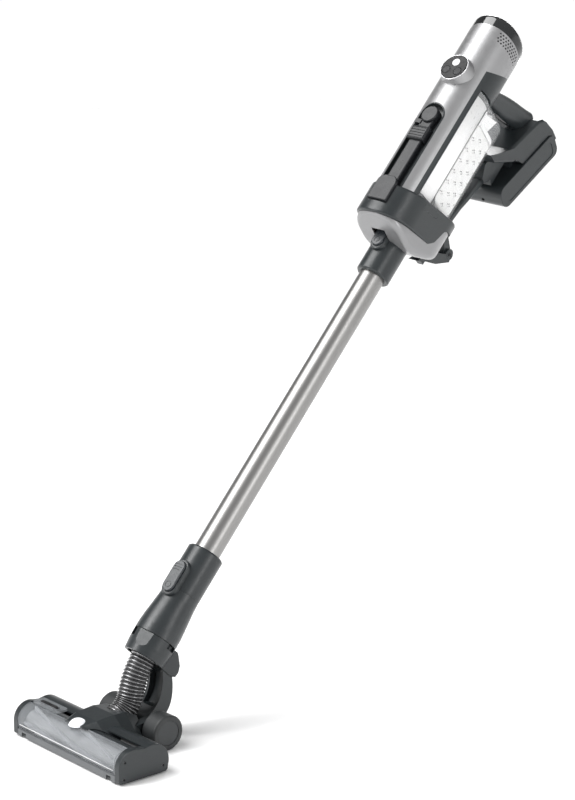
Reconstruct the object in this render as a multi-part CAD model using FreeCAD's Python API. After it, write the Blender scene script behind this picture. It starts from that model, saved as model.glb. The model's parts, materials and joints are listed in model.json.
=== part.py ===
import FreeCAD, Part
import math
import os

from FreeCAD import Placement, Rotation, Vector

os.makedirs("parts", exist_ok=True)

# A cordless stick vacuum: a powered floor head, a jointed neck, a metal wand and a hand unit.
# Row frame: X across the floor head, Y from its front to its back, Z up, z = 0 on the floor.
# The origin is the middle of the rear glide strip under the floor head.

# ---- driving dimensions (mm, degrees) ----
HEAD_W = 245.0          # floor head, over its end caps
HEAD_FRONT_Y = -60.0
HEAD_REAR_Y = 20.0
END_CAP_T = 10.0
WALL = 2.2              # moulded walls
GAP = 0.35              # between moulded pieces that move past each other
RUNNING = 0.05          # radial clearance of a shaft in its bearing
LOBE_R = 24.0           # front of the head, round the brush
BRUSH_Z = 20.5
WHEEL_Y = 63.3
WHEEL_R = 24.5
WHEEL_OUT_X = 65.0
WHEEL_W = 28.0
LEAN = 49.0             # wand above the floor at rest
WAND_FOOT_Y = -26.0     # where the wand's axis meets the floor
TUBE_R = 19.1
TUBE_WALL = 1.3
TUBE_LOW_Q = 262.0      # stations along the wand's axis, from the floor
COLLAR_TOP_Q = 316.0
SWIVEL_Q = 179.0
SHROUD_LOW_Q = 148.0
SLEEVE_LOW_Q = 787.0
TUBE_TOP_Q = 836.0
TWIST = 10.0            # everything above the swivel is turned about the wand at rest
MOTOR_S = -33.6         # offsets from the wand's axis, towards the battery
MOTOR_R = 43.2
BIN_S = 24.0
BIN_R = 38.0
BIN_TOP_Q = 1098.0
RING_R = 47.4
RING_REAR_R = 46.5
RING_REAR_S = 32.0
RING_TOP_Q = 917.5      # on the wand's axis; the ring's faces slope
RING_SLOPE = 0.22
SEAM_Q = 1118.5         # cover, frame and cap edges at the housing's axis, and their slopes
SEAM_SLOPE = -0.65
FRAME_TOP_Q = 1139.0
FRAME_SLOPE = 0.51
CAP_LOW_Q = 1188.0
CAP_SLOPE = -0.19
UNIT_TOP_Q = 1208.0
TOP_SLOPE = -0.25
HINGE_S = 118.0         # door hinge
HINGE_Q = 912.0
HANDLE_TILT = 17.0
HANDLE_S = 10.0
HANDLE_Q = 1128.5
BATTERY_S = 148.0       # battery's centre
BATTERY_Q = 1098.0
BATTERY_TILT = 16.0
BATTERY_L = 152.0
BATTERY_T = 36.6
BATTERY_W = 74.0

# ---- sizes that follow ----
BRUSH_Y = HEAD_FRONT_Y + LOBE_R
BODY_X = HEAD_W / 2 - END_CAP_T
WAND_FRAME = Placement(Vector(0, WAND_FOOT_Y, 0), Rotation(Vector(1, 0, 0), LEAN - 90.0))
TURN = Placement(Vector(0, 0, 0), Rotation(Vector(0, 0, 1), TWIST))
X_AXIS = Vector(1, 0, 0)
Y_AXIS = Vector(0, 1, 0)
Z_AXIS = Vector(0, 0, 1)


# ---- helpers ----
def box(x, y, z):
    """A box from three (low, high) pairs."""
    return Part.makeBox(x[1] - x[0], y[1] - y[0], z[1] - z[0], Vector(x[0], y[0], z[0]))


def rod(r, start, axis, length):
    return Part.makeCylinder(r, length, start, axis)


def tube(r_out, r_in, start, axis, length):
    return rod(r_out, start, axis, length).cut(rod(r_in, start, axis, length))


def across(r, y, z, x0, x1):
    """A rod along X."""
    return rod(r, Vector(x0, y, z), X_AXIS, x1 - x0)


def up(r, x, y, z0, z1):
    """A rod along Z."""
    return rod(r, Vector(x, y, z0), Z_AXIS, z1 - z0)


def plate(points, x0, x1):
    """A YZ outline of straight runs, extruded along X."""
    wire = Part.makePolygon([Vector(x0, y, z) for y, z in points + points[:1]])
    return Part.Face(wire).extrude(Vector(x1 - x0, 0, 0))


def pill(half_w, z0, z1, y0, y1):
    """A plate with round ends along Z, from y0 to y1."""
    body = box((-half_w, half_w), (y0, y1), (z0 + half_w, z1 - half_w))
    for z in (z0 + half_w, z1 - half_w):
        body = body.fuse(rod(half_w, Vector(0, y0, z), Y_AXIS, y1 - y0))
    return body.removeSplitter()


def hull(r1, y1, r2, y2, z0, z1):
    """The tangent hull of two circles centred on x = 0, extruded along Z."""
    ny = (r1 - r2) / (y2 - y1)
    nx = math.sqrt(1 - ny * ny)
    a_out = Vector(r1 * nx, y1 + r1 * ny, z0)
    b_out = Vector(r2 * nx, y2 + r2 * ny, z0)
    a_in = Vector(-a_out.x, a_out.y, z0)
    b_in = Vector(-b_out.x, b_out.y, z0)
    edges = [
        Part.Arc(a_in, Vector(0, y1 - r1, z0), a_out).toShape(),
        Part.LineSegment(a_out, b_out).toShape(),
        Part.Arc(b_out, Vector(0, y2 + r2, z0), b_in).toShape(),
        Part.LineSegment(b_in, a_in).toShape(),
    ]
    return Part.Face(Part.Wire(edges)).extrude(Vector(0, 0, z1 - z0))


def rounded(shape, radius, keep):
    """Fillets the edges whose middle point the test keeps."""
    edges = [e for e in shape.Edges if keep(e.valueAt((e.FirstParameter + e.LastParameter) / 2), e)]
    return shape.makeFillet(radius, edges)


def revolve(points):
    """A solid of revolution about Z from (radius, height) points."""
    wire = Part.makePolygon([Vector(r, 0, z) for r, z in points + points[:1]])
    return Part.Face(wire).revolve(Vector(0, 0, 0), Z_AXIS, 360)


def both_sides(shape):
    """The shape and its mirror image in the sagittal plane, joined."""
    return shape.fuse(mirrored(shape))


def mirrored(shape):
    return shape.mirror(Vector(0, 0, 0), X_AXIS)


def joined(*shapes):
    return shapes[0].multiFuse(list(shapes[1:])).removeSplitter()


def group(shapes):
    """Separate solids that share a node."""
    return Part.makeCompound(shapes)


# ---- floor head (row frame) ----
def head_outline(inset=0.0):
    """Side outline of the floor head: round brush lobe, shallow dip, rear lobe."""
    lobe = LOBE_R
    a = math.radians(72)
    top = (BRUSH_Y + lobe * math.cos(a), BRUSH_Z + lobe * math.sin(a))
    mid = (BRUSH_Y - lobe * math.sqrt(0.5), BRUSH_Z + lobe * math.sqrt(0.5))

    def at(p):
        return Vector(0, p[0], p[1])

    front = (HEAD_FRONT_Y, BRUSH_Z)
    low = [(HEAD_REAR_Y, 20.0), (18.0, 5.0), (14.5, 2.0), (HEAD_FRONT_Y + 2.0, 2.0), (HEAD_FRONT_Y, 4.0)]
    edges = [Part.Arc(at(front), at(mid), at(top)).toShape()]
    edges.append(Part.LineSegment(at(top), at((-19.0, 41.9))).toShape())
    edges.append(Part.LineSegment(at((-19.0, 41.9)), at((-9.0, 43.8))).toShape())
    edges.append(Part.Arc(at((-9.0, 43.8)), at((11.5, 37.3)), at(low[0])).toShape())
    for p, q in zip(low, low[1:] + [front]):
        edges.append(Part.LineSegment(at(p), at(q)).toShape())
    face = Part.Face(Part.Wire(edges))
    return face.makeOffset2D(-inset) if inset else face


def head_bar(x0, x1, inset=0.0):
    face = head_outline(inset)
    face.translate(Vector(x0, 0, 0))
    return face.extrude(Vector(x1 - x0, 0, 0))


CAP_SCREWS = ((-50.5, 30.3), (10.0, 11.6), (-52.5, 7.0))
SCREW_HEAD_R = 2.1
BEARING_R = 8.0
BEARING_W = 5.0
SHAFT_R = 3.0


def end_cap(side):
    """The moulded side of the floor head, with the brush bearing's seat and three screw recesses."""
    def span(near, far):
        return (near, far) if side > 0 else (-far, -near)

    cap = head_bar(*span(BODY_X, HEAD_W / 2))
    cap = rounded(cap, 1.0, lambda p, e: abs(p.x) > HEAD_W / 2 - 0.1)
    cap = cap.cut(across(BEARING_R, BRUSH_Y, BRUSH_Z, *span(BODY_X - 1, BODY_X + BEARING_W)))
    for y, z in CAP_SCREWS:
        cap = cap.cut(across(SCREW_HEAD_R, y, z, *span(HEAD_W / 2 - 5.0, HEAD_W / 2 + 1)))
    return cap


def end_cap_screws():
    """Countersunk hex-socket screws, their heads sunk in the end caps."""
    screws = []
    for y, z in CAP_SCREWS:
        head = across(SCREW_HEAD_R - 0.1, y, z, HEAD_W / 2 - 5.0, HEAD_W / 2 - 2.5)
        socket = across(1.0, y, z, HEAD_W / 2 - 3.7, HEAD_W / 2)
        screw = head.cut(socket)
        screws += [screw, mirrored(screw)]
    return group(screws)


def brush_bearings():
    ring = tube(BEARING_R, SHAFT_R + RUNNING, Vector(BODY_X, BRUSH_Y, BRUSH_Z), X_AXIS, BEARING_W)
    return group([ring, mirrored(ring)])


PARTITION_Y = -11.0
LEDGE_OUT_R = 23.2
LEDGE_IN_R = 21.4
AXLE_R = 4.0
CARRIER_IN_X = 18.5
CARRIER_OUT_X = 34.0
CARRIER_R = 12.5
WHEEL_Z = WHEEL_R
MOTOR_Y = 0.4
MOTOR_Z = 21.0
ROLLER_Y = -55.0
ROLLER_R = 3.6
ROLLER_X = 98.0
ROLLER_W = 9.0


def lower_housing():
    """Sole plate, brush chamber wall, rear wall and the two arms that carry the wheels."""
    sole = box((-BODY_X, BODY_X), (HEAD_FRONT_Y + 9, 14.0), (2.0, 4.4))
    sole = sole.cut(box((-104, 104), (-54.5, -17.0), (0, 6)))
    chamber = tube(LEDGE_OUT_R, LEDGE_IN_R, Vector(-BODY_X, BRUSH_Y, BRUSH_Z), X_AXIS, 2 * BODY_X)
    chamber = chamber.cut(box((-200, 200), (-90, BRUSH_Y - 1.5), (-10, 60)))
    chamber = chamber.cut(box((-200, 200), (-90, 0), (-10, 4.4)))
    partition = box((-BODY_X, BODY_X), (PARTITION_Y - 2, PARTITION_Y), (4.4, 30.0))
    rear = box((-BODY_X, BODY_X), (14.0 - WALL, 14.0), (4.4, 16.0))
    mouth = box((-26, 26), (-30, -5), (13, 27))
    body = joined(sole, chamber, partition.cut(mouth), rear).cut(mouth)
    body = body.cut(box((96.0, 109.5), (-30, -5), (7, 34)))
    arm = plate([(11.8, 5.0), (WHEEL_Y, 12.0), (WHEEL_Y, 37.0), (11.8, 31.0)], CARRIER_IN_X, CARRIER_OUT_X)
    arm = joined(arm, across(CARRIER_R, WHEEL_Y, WHEEL_Z, CARRIER_IN_X, CARRIER_OUT_X))
    arm = arm.cut(across(AXLE_R, WHEEL_Y, WHEEL_Z, 0, 60))
    body = joined(body, arm, mirrored(arm))
    for x in (-ROLLER_X, ROLLER_X):
        hole = box((x - ROLLER_W / 2 - 3.2, x + ROLLER_W / 2 + 3.2), (-60, -50.5), (-1, 9))
        body = body.cut(hole)
    return body


def front_sill():
    """The bar under the window, with fine ribs and a pair of roller forks."""
    sill = box((-BODY_X, BODY_X), (HEAD_FRONT_Y + 0.3, HEAD_FRONT_Y + 8.7), (2.0, 11.2))
    sill = sill.cut(across(LOBE_R - WALL, BRUSH_Y, BRUSH_Z, -BODY_X - 1, BODY_X + 1))
    for x in (-ROLLER_X, ROLLER_X):
        half = ROLLER_W / 2 + 0.6
        fork = box((x - half - 2.4, x + half + 2.4), (ROLLER_Y - 2.6, ROLLER_Y + 2.6), (2.0, 8.2))
        sill = joined(sill, fork)
        sill = sill.cut(box((x - half, x + half), (HEAD_FRONT_Y - 1.0, ROLLER_Y + 6), (-1, 8.2)))
        sill = sill.cut(across(1.5 + RUNNING, ROLLER_Y, ROLLER_R, x - half - 1.6, x + half + 1.6))
    return sill


def front_roller(side):
    x = side * ROLLER_X
    wheel = across(ROLLER_R, ROLLER_Y, ROLLER_R, x - ROLLER_W / 2, x + ROLLER_W / 2)
    wheel = rounded(wheel, 0.8, lambda p, e: e.Curve.TypeId == "Part::GeomCircle")
    return joined(wheel, across(1.5, ROLLER_Y, ROLLER_R, x - ROLLER_W / 2 - 1.8, x + ROLLER_W / 2 + 1.8))


WINDOW_REAR_A = 96.0
WINDOW_LOW_A = 203.0


def arc_shell(r_out, r_in, a0, a1, x0, x1):
    """A slice of a tube round the brush axis, between two angles from +Y."""
    def ray(a, r):
        t = math.radians(a)
        return Vector(x0, BRUSH_Y + r * math.cos(t), BRUSH_Z + r * math.sin(t))

    mid = (a0 + a1) / 2
    edges = [
        Part.Arc(ray(a0, r_out), ray(mid, r_out), ray(a1, r_out)).toShape(),
        Part.LineSegment(ray(a1, r_out), ray(a1, r_in)).toShape(),
        Part.Arc(ray(a1, r_in), ray(mid, r_in), ray(a0, r_in)).toShape(),
        Part.LineSegment(ray(a0, r_in), ray(a0, r_out)).toShape(),
    ]
    return Part.Face(Part.Wire(edges)).extrude(Vector(x1 - x0, 0, 0))


def front_window():
    return arc_shell(LOBE_R - 0.2, LOBE_R - 2.2, WINDOW_REAR_A, WINDOW_LOW_A, -BODY_X + 0.2, BODY_X - 0.2)


LATCH_X = -80.0
LATCH_HALF = 30.0
HOOD_FRONT_Y = -17.0


def latch_frame():
    """The clear catch plate on the ledge behind the window, round the latch."""
    plate_ = box((LATCH_X - LATCH_HALF, LATCH_X + LATCH_HALF), (-37.0, -18.5), (43.9, 47.0))
    plate_ = rounded(plate_, 4.0, lambda p, e: abs(p.z - 45.45) < 0.1)
    slot = box((LATCH_X - 22, LATCH_X + 22), (-31.5, -23.5), (43, 48))
    return plate_.cut(rounded(slot, 3.6, lambda p, e: abs(p.z - 45.5) < 0.1))


def window_latch():
    """The black slider of the window catch; it slides across in its slot."""
    body = box((LATCH_X - 21.6, LATCH_X + 15.0), (-31.1, -23.9), (44.2, 46.6))
    body = rounded(body, 3.3, lambda p, e: abs(p.z - 45.4) < 0.1)
    for k in range(4):
        x = LATCH_X - 12 + 4 * k
        body = body.cut(box((x, x + 1.4), (-30, -25), (46.0, 47)))
    return body


def duct_section(y, top, low, z_top, z_low):
    corners = [(-low, z_low), (low, z_low), (top, z_top), (-top, z_top)]
    return Part.makePolygon([Vector(x, y, z) for x, z in corners + corners[:1]])


DUCT_SECTIONS = (
    (-44.0, 17.0, 24.0, 46.6, 45.2),
    (-24.0, 23.0, 46.0, 51.5, 36.0),
    (4.0, 24.0, 60.0, 54.0, 26.0),
    (24.0, 22.5, 52.0, 52.0, 22.0),
    (44.0, 19.5, 35.5, 42.0, 20.0),
)


def duct_block():
    return Part.makeLoft([duct_section(*s) for s in DUCT_SECTIONS], True, True)


def hose_route():
    """Centre line of the ribbed hose in the YZ plane, as (start, corner, corner, end)."""
    top = wand_point(0, SWIVEL_Q + 8)
    bend = wand_point(0, 128)
    return [(top.y, top.z), (bend.y, bend.z), (44.5, 47.0), (10.0, 31.0)]


def wand_point(s, q, x=0.0):
    return WAND_FRAME.multVec(Vector(x, s, q))


def hose_path():
    """Straight runs joined by tangent arcs."""
    pts = [Vector(0, y, z) for y, z in hose_route()]
    edges = []
    last = pts[0]
    for before, corner, after in zip(pts, pts[1:], pts[2:]):
        a = (before - corner).normalize()
        b = (after - corner).normalize()
        half_turn = (math.pi - a.getAngle(b)) / 2
        run = min((before - corner).Length, (after - corner).Length)
        radius = 0.45 * run / math.tan(half_turn)
        cut = 0.45 * run
        t0 = corner + a * cut
        t1 = corner + b * cut
        bisector = (a + b).normalize()
        centre = corner + bisector * (radius / math.cos(half_turn))
        mid = centre - bisector * radius
        edges += [Part.LineSegment(last, t0).toShape(), Part.Arc(t0, mid, t1).toShape()]
        last = t1
    edges.append(Part.LineSegment(last, pts[-1]).toShape())
    return Part.Wire(edges)


HOSE_R = 18.5
HOSE_WALL = 1.6


def hose_rod(radius):
    path = hose_path()
    start = path.Edges[0]
    circle = Part.Circle(start.firstVertex().Point, start.tangentAt(start.FirstParameter), radius)
    return path.makePipeShell([Part.Wire(circle.toShape())], True, False)


def suction_hose():
    return hose_rod(HOSE_R).cut(hose_rod(HOSE_R - HOSE_WALL))


def top_cover():
    """The curved cover behind the window, with the raised air duct in its middle."""
    outer = head_bar(-BODY_X, BODY_X)
    shell = outer.cut(head_bar(-BODY_X - 1, BODY_X + 1, WALL))
    shell = shell.cut(box((-200, 200), (-90, HOOD_FRONT_Y), (-10, 60)))
    shell = shell.cut(box((-200, 200), (-90, 60), (-10, 5.0)))
    cover = joined(shell, duct_block())
    throat = Part.makeLoft(
        [duct_section(-16.0, 19.0, 19.0, 27.0, 15.0), duct_section(12.0, 17.0, 17.0, 45.0, 17.0)], True, True
    )
    room = box((-BODY_X, BODY_X), (PARTITION_Y - 2.5, 14.3), (0, 16.2))
    cover = cover.cut(throat).cut(hose_rod(HOSE_R + 0.5)).cut(arc_chamber()).cut(room)
    cover = cover.cut(box((-80, 80), (-80, 10.0), (-5, 20.0))).cut(rear_clearance())
    cover = cover.cut(across(12.0, MOTOR_Y, MOTOR_Z + 1.0, 43.0, 94.0)).cut(headlight_block())
    cover = cover.cut(box((-26.3, 26.3), (-31, -4.7), (13, 27.3)))
    return max(cover.Solids, key=lambda s: s.Volume)


def arc_chamber():
    return across(LOBE_R + 0.1, BRUSH_Y, BRUSH_Z, -BODY_X, BODY_X)


def headlight_block():
    nose = Part.makeSphere(14.0, Vector(2.0, -39.0, 39.5))
    return nose.common(box((-30, 30), (-55, -27), (44.9, 54)))


def headlight_lens():
    """A small clear nose over the lamp at the front of the duct."""
    return headlight_block()


def rear_clearance():
    """Room for the wheel arms where they leave the head."""
    arm = plate([(0, 2.6), (WHEEL_Y, 10.0), (WHEEL_Y, 38.0), (0, 32.0)], CARRIER_IN_X - 0.4, CARRIER_OUT_X + 0.4)
    wheel = across(WHEEL_R + 1.2, WHEEL_Y, WHEEL_Z, CARRIER_OUT_X, 80)
    return both_sides(joined(arm, wheel)).fuse(box((-CARRIER_IN_X, CARRIER_IN_X), (20, 70), (0, 27)))


def glide_strips():
    """Two felt strips under the sole; the rear one holds the row's origin."""
    front = box((-92, 92), (-16.5, -13.0), (0, 2.0))
    rear = box((-92, 92), (-3.0, 3.0), (0, 2.0))
    return group([front, rear])


PULLEY_X = 98.5
PULLEY_W = 8.0
BRUSH_PULLEY_R = 11.0
MOTOR_PULLEY_R = 4.6
BELT_T = 1.3


MOTOR_CAN_R = 11.0


def brush_motor():
    can = across(MOTOR_CAN_R, MOTOR_Y, MOTOR_Z + 1.0, 44.0, 90.0)
    flange = across(9.5, MOTOR_Y, MOTOR_Z + 1.0, 90.0, 93.0)
    body = joined(can, flange)
    return body.cut(across(2.0 + RUNNING, MOTOR_Y, MOTOR_Z + 1.0, 80.0, 94.0))


def motor_pulley():
    z = MOTOR_Z + 1.0
    wheel = across(MOTOR_PULLEY_R, MOTOR_Y, z, PULLEY_X, PULLEY_X + PULLEY_W)
    return joined(wheel, across(2.0, MOTOR_Y, z, 81.0, PULLEY_X + PULLEY_W))


def belt_outline(grow, x0, x1):
    """The tangent hull of the two pulleys, grown by the given amount."""
    r1 = BRUSH_PULLEY_R + grow
    r2 = MOTOR_PULLEY_R + grow
    span = math.hypot(MOTOR_Y - BRUSH_Y, MOTOR_Z + 1.0 - BRUSH_Z)
    tilt = math.degrees(math.atan2(MOTOR_Z + 1.0 - BRUSH_Z, MOTOR_Y - BRUSH_Y))
    loop = hull(r1, 0.0, r2, span, x0, x1)
    lay = Placement(Vector(0, BRUSH_Y, BRUSH_Z), Rotation(X_AXIS, tilt))
    upright = Placement(Vector(0, 0, 0), Rotation(Y_AXIS, 90))
    loop.Placement = lay.multiply(upright)
    return loop


def drive_belt():
    x0 = PULLEY_X + 1.0
    x1 = PULLEY_X + PULLEY_W - 1.0
    return belt_outline(GAP + BELT_T, x0, x1).cut(belt_outline(GAP, x0, x1))


CORE_R = 13.0
BRISTLE_R = 20.2
BRISTLE_ROWS = 4
BRISTLE_TURN = 150.0


def brush_core():
    core = across(CORE_R, BRUSH_Y, BRUSH_Z, -108.0, 95.0)
    pulley = across(BRUSH_PULLEY_R, BRUSH_Y, BRUSH_Z, PULLEY_X - 3.5, PULLEY_X + PULLEY_W)
    shaft = across(SHAFT_R, BRUSH_Y, BRUSH_Z, -BODY_X - 4.0, BODY_X + 4.0)
    return joined(core, pulley, shaft)


def bristle_section(x, angle):
    """A thin radial slice of bristles at a station along the brush."""
    t = math.radians(angle)
    out = Vector(0, math.cos(t), math.sin(t))
    side = Vector(0, -math.sin(t), math.cos(t)) * 1.6
    centre = Vector(x, BRUSH_Y, BRUSH_Z)
    low = centre + out * (CORE_R - 0.6)
    high = centre + out * BRISTLE_R
    return Part.makePolygon([low - side, low + side, high + side, high - side, low - side])


def brush_bristles():
    rows = []
    steps = 12
    for row in range(BRISTLE_ROWS):
        start = 360.0 / BRISTLE_ROWS * row
        stations = [(-104.0 + 196.0 * k / steps, start + BRISTLE_TURN * k / steps) for k in range(steps + 1)]
        row_of_bristles = Part.makeLoft([bristle_section(x, a) for x, a in stations], True, False)
        rows.append(row_of_bristles.cut(brush_core()))
    return group(rows)


def wheel_axle():
    return across(AXLE_R, WHEEL_Y, WHEEL_Z, -WHEEL_OUT_X + 4, WHEEL_OUT_X - 4)


HUB_R = 17.0


def wheel_hub(side):
    inner = WHEEL_OUT_X - WHEEL_W
    hub = across(HUB_R, WHEEL_Y, WHEEL_Z, inner, WHEEL_OUT_X - 0.6)
    hub = hub.cut(across(AXLE_R + RUNNING, WHEEL_Y, WHEEL_Z, inner - 1, WHEEL_OUT_X - 3.5))
    hub = rounded(hub, 0.6, lambda p, e: p.x > WHEEL_OUT_X - 0.7)
    return hub if side > 0 else mirrored(hub)


def tyre(side):
    inner = WHEEL_OUT_X - WHEEL_W
    ring = across(WHEEL_R, WHEEL_Y, WHEEL_Z, inner, WHEEL_OUT_X)
    ring = ring.cut(across(HUB_R, WHEEL_Y, WHEEL_Z, inner - 1, WHEEL_OUT_X + 1))
    ring = rounded(ring, 3.0, lambda p, e: e.Length > 2 * math.pi * (WHEEL_R - 1))
    return ring if side > 0 else mirrored(ring)


# ---- yoke: arm, shroud ----
YOKE_HALF = 17.0


def yoke_side(grow=0.0):
    """Side outline of the yoke arm between its outer and inner curves."""
    outer = [(WHEEL_Y, 12.5), (80.0, 16.0), (93.5, 27.0), (103.0, 39.0), (108.0, 54.0), (108.5, 82.0), (105.5, 111.0)]
    inner = [(91.0, 106.0), (91.0, 84.0), (89.0, 66.0), (82.0, 50.0), (73.0, 40.5), (WHEEL_Y, 36.5)]
    inner = [(y + grow, z) for y, z in inner[:-1]] + inner[-1:]
    x0 = -YOKE_HALF
    edges = []
    for run in (outer, inner):
        curve = Part.BSplineCurve()
        curve.interpolate([Vector(x0, y, z) for y, z in run])
        edges.append(curve.toShape())
    top = Part.LineSegment(Vector(x0, *outer[-1]), Vector(x0, *inner[0])).toShape()
    low = Part.LineSegment(Vector(x0, *inner[-1]), Vector(x0, *outer[0])).toShape()
    return Part.Face(Part.Wire([edges[0], top, edges[1], low])).extrude(Vector(2 * YOKE_HALF, 0, 0))


def yoke_arm():
    """A C-shaped channel from the wheel axle, behind the hose, up to the shroud."""
    arm = yoke_side()
    arm = rounded(arm, 3.0, lambda p, e: abs(abs(p.x) - YOKE_HALF) < 0.1 and p.y > 95 and p.z < 100)
    channel = box((-YOKE_HALF + 5, YOKE_HALF - 5), (60, 120), (44, 98)).cut(yoke_side(9.0))
    channel = channel.cut(box((-30, 30), (100, 130), (0, 200)))
    arm = joined(arm.cut(channel), across(12.0, WHEEL_Y, WHEEL_Z, -YOKE_HALF, YOKE_HALF))
    arm = arm.cut(across(AXLE_R + RUNNING, WHEEL_Y, WHEEL_Z, -30, 30))
    arm = arm.cut(hose_rod(HOSE_R + 1.0))
    return max(arm.Solids, key=lambda s: s.Volume)


SHROUD_R = 31.0
SPIGOT_R = 24.6


def shroud_outer():
    """Round skirt below the swivel, with a deep tail behind it (wand frame)."""
    skirt = revolve([(0, SHROUD_LOW_Q), (29.5, SHROUD_LOW_Q), (SHROUD_R, SHROUD_LOW_Q + 14), (31.5, SWIVEL_Q), (0, SWIVEL_Q)])
    outline = [(10, SWIVEL_Q), (31, SWIVEL_Q), (40, 175), (49, 167), (53, 158), (52, 150), (44, 147), (10, 150)]
    tail = plate(outline, -19.5, 19.5)
    tail = rounded(tail, 4.0, lambda p, e: abs(abs(p.x) - 19.5) < 0.1 and p.y > 40)
    return joined(skirt, tail)


def neck_shroud():
    body = shroud_outer()
    body = body.cut(up(SPIGOT_R + GAP, 0, 0, SHROUD_LOW_Q - 5, SWIVEL_Q + 1))
    recess = pill(11.0, SWIVEL_Q - 22, SWIVEL_Q + 12, -45, -29.5)
    recess.rotate(Vector(0, 0, 0), Z_AXIS, 22)
    slot = box((-6, 6), (-45, -15), (SWIVEL_Q - 12, SWIVEL_Q + 1))
    slot.rotate(Vector(0, 0, 0), Z_AXIS, -22)
    gap = box((22, 40), (0, 18), (SWIVEL_Q - 7, SWIVEL_Q + 1))
    body = in_world(body.cut(recess).cut(slot).cut(gap)).cut(yoke_arm())
    return max(body.Solids, key=lambda s: s.Volume)


def in_world(shape, turned=False):
    """From the wand frame to the row frame; pieces above the swivel are also turned."""
    shape = shape.copy()
    lay = WAND_FRAME.multiply(TURN) if turned else WAND_FRAME
    shape.Placement = lay.multiply(shape.Placement)
    return shape


# ---- neck collar (wand frame) ----
COLLAR_SEAM_Q = 249.0
COLLAR_R = 26.5
SOCKET_R = TUBE_R + 0.3
PASSAGE_R = 17.3
BUTTON_HALF = 9.5
NECK_BUTTON = (238.0, 285.0)


def neck_collar():
    outer = [
        (31.7, SWIVEL_Q + 0.6), (31.5, 192.0), (30.4, 206.0), (28.2, 226.0), (27.0, 238.0), (COLLAR_R, COLLAR_SEAM_Q),
        (COLLAR_R - 0.5, COLLAR_SEAM_Q + 0.1), (COLLAR_R - 0.5, COLLAR_SEAM_Q + 0.8), (COLLAR_R, COLLAR_SEAM_Q + 0.9),
        (COLLAR_R, COLLAR_TOP_Q - 2.2), (COLLAR_R - 2.0, COLLAR_TOP_Q),
    ]
    inner = [
        (SOCKET_R, COLLAR_TOP_Q), (SOCKET_R, TUBE_LOW_Q - 0.4), (PASSAGE_R, TUBE_LOW_Q - 0.4), (PASSAGE_R, SWIVEL_Q + 12),
        (HOSE_R + 0.6, SWIVEL_Q + 12), (HOSE_R + 0.6, SWIVEL_Q - 11), (SPIGOT_R, SWIVEL_Q - 11), (SPIGOT_R, SWIVEL_Q + 0.6),
    ]
    body = revolve(outer + inner)
    low, high = NECK_BUTTON
    boss = pill(BUTTON_HALF + 3.0, low - 4.0, high + 4.0, -31.5, -20.0)
    boss = rounded(boss, 2.0, lambda p, e: p.y < -31.4)
    body = joined(body, boss)
    body = body.cut(up(SOCKET_R, 0, 0, TUBE_LOW_Q - 0.4, COLLAR_TOP_Q + 1))
    body = body.cut(up(PASSAGE_R, 0, 0, SWIVEL_Q + 12, TUBE_LOW_Q))
    return body.cut(pill(BUTTON_HALF + GAP, low - GAP, high + GAP, -40.0, -27.0))


def pill_button(low, high, face):
    """A long push button with ribs at its upper end and a dot at its lower end."""
    body = pill(BUTTON_HALF, low, high, face, face + 4.5)
    body = rounded(body, 1.4, lambda p, e: p.y < face + 0.1)
    for k in range(3):
        q = high - 5.5 - 4.0 * k
        body = body.cut(box((-6.5, 6.5), (face - 1, face + 1.0), (q - 1.6, q)))
    dot = tube(4.6, 3.8, Vector(0, face - 1, low + BUTTON_HALF), Y_AXIS, 1.6)
    return body.cut(dot)


def neck_button():
    return pill_button(*NECK_BUTTON, -35.5)


def coil(radius, wire, turns, y0, y1, q):
    """A compression spring along the button's travel, as stacked rings."""
    pitch = (y1 - y0 - 2 * wire) / (turns - 1)
    rings = []
    for k in range(turns):
        centre = Vector(0, y0 + wire + pitch * k, q)
        rings.append(Part.makeTorus(radius, wire, centre, Y_AXIS))
    return group(rings)


def neck_button_spring():
    return coil(3.2, 0.4, 4, -30.9, -27.05, sum(NECK_BUTTON) / 2)


# ---- wand (wand frame) ----
def wand_tube():
    return tube(TUBE_R, TUBE_R - TUBE_WALL, Vector(0, 0, TUBE_LOW_Q), Z_AXIS, TUBE_TOP_Q - TUBE_LOW_Q)


# ---- front door and inlet (wand frame) ----
SLEEVE_R = 25.7
INLET_BUTTON = (822.0, 863.0)
PILL_TRAVEL_ROOM = 4.0
LUG_IN_X = 4.6
LUG_OUT_X = 8.6
LUG_R = 8.6
PIN_R = 2.5
REACH = 150.0           # half-length of cutting blocks


def slanted(low, low_slope, high, high_slope, s0=0.0):
    """The space between two sloping planes, given by their heights at the station s0."""
    corners = [(-REACH, low - low_slope * (REACH + s0)), (REACH, low + low_slope * (REACH - s0))]
    corners += [(REACH, high + high_slope * (REACH - s0)), (-REACH, high - high_slope * (REACH + s0))]
    return plate(corners, -REACH, REACH)


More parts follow.
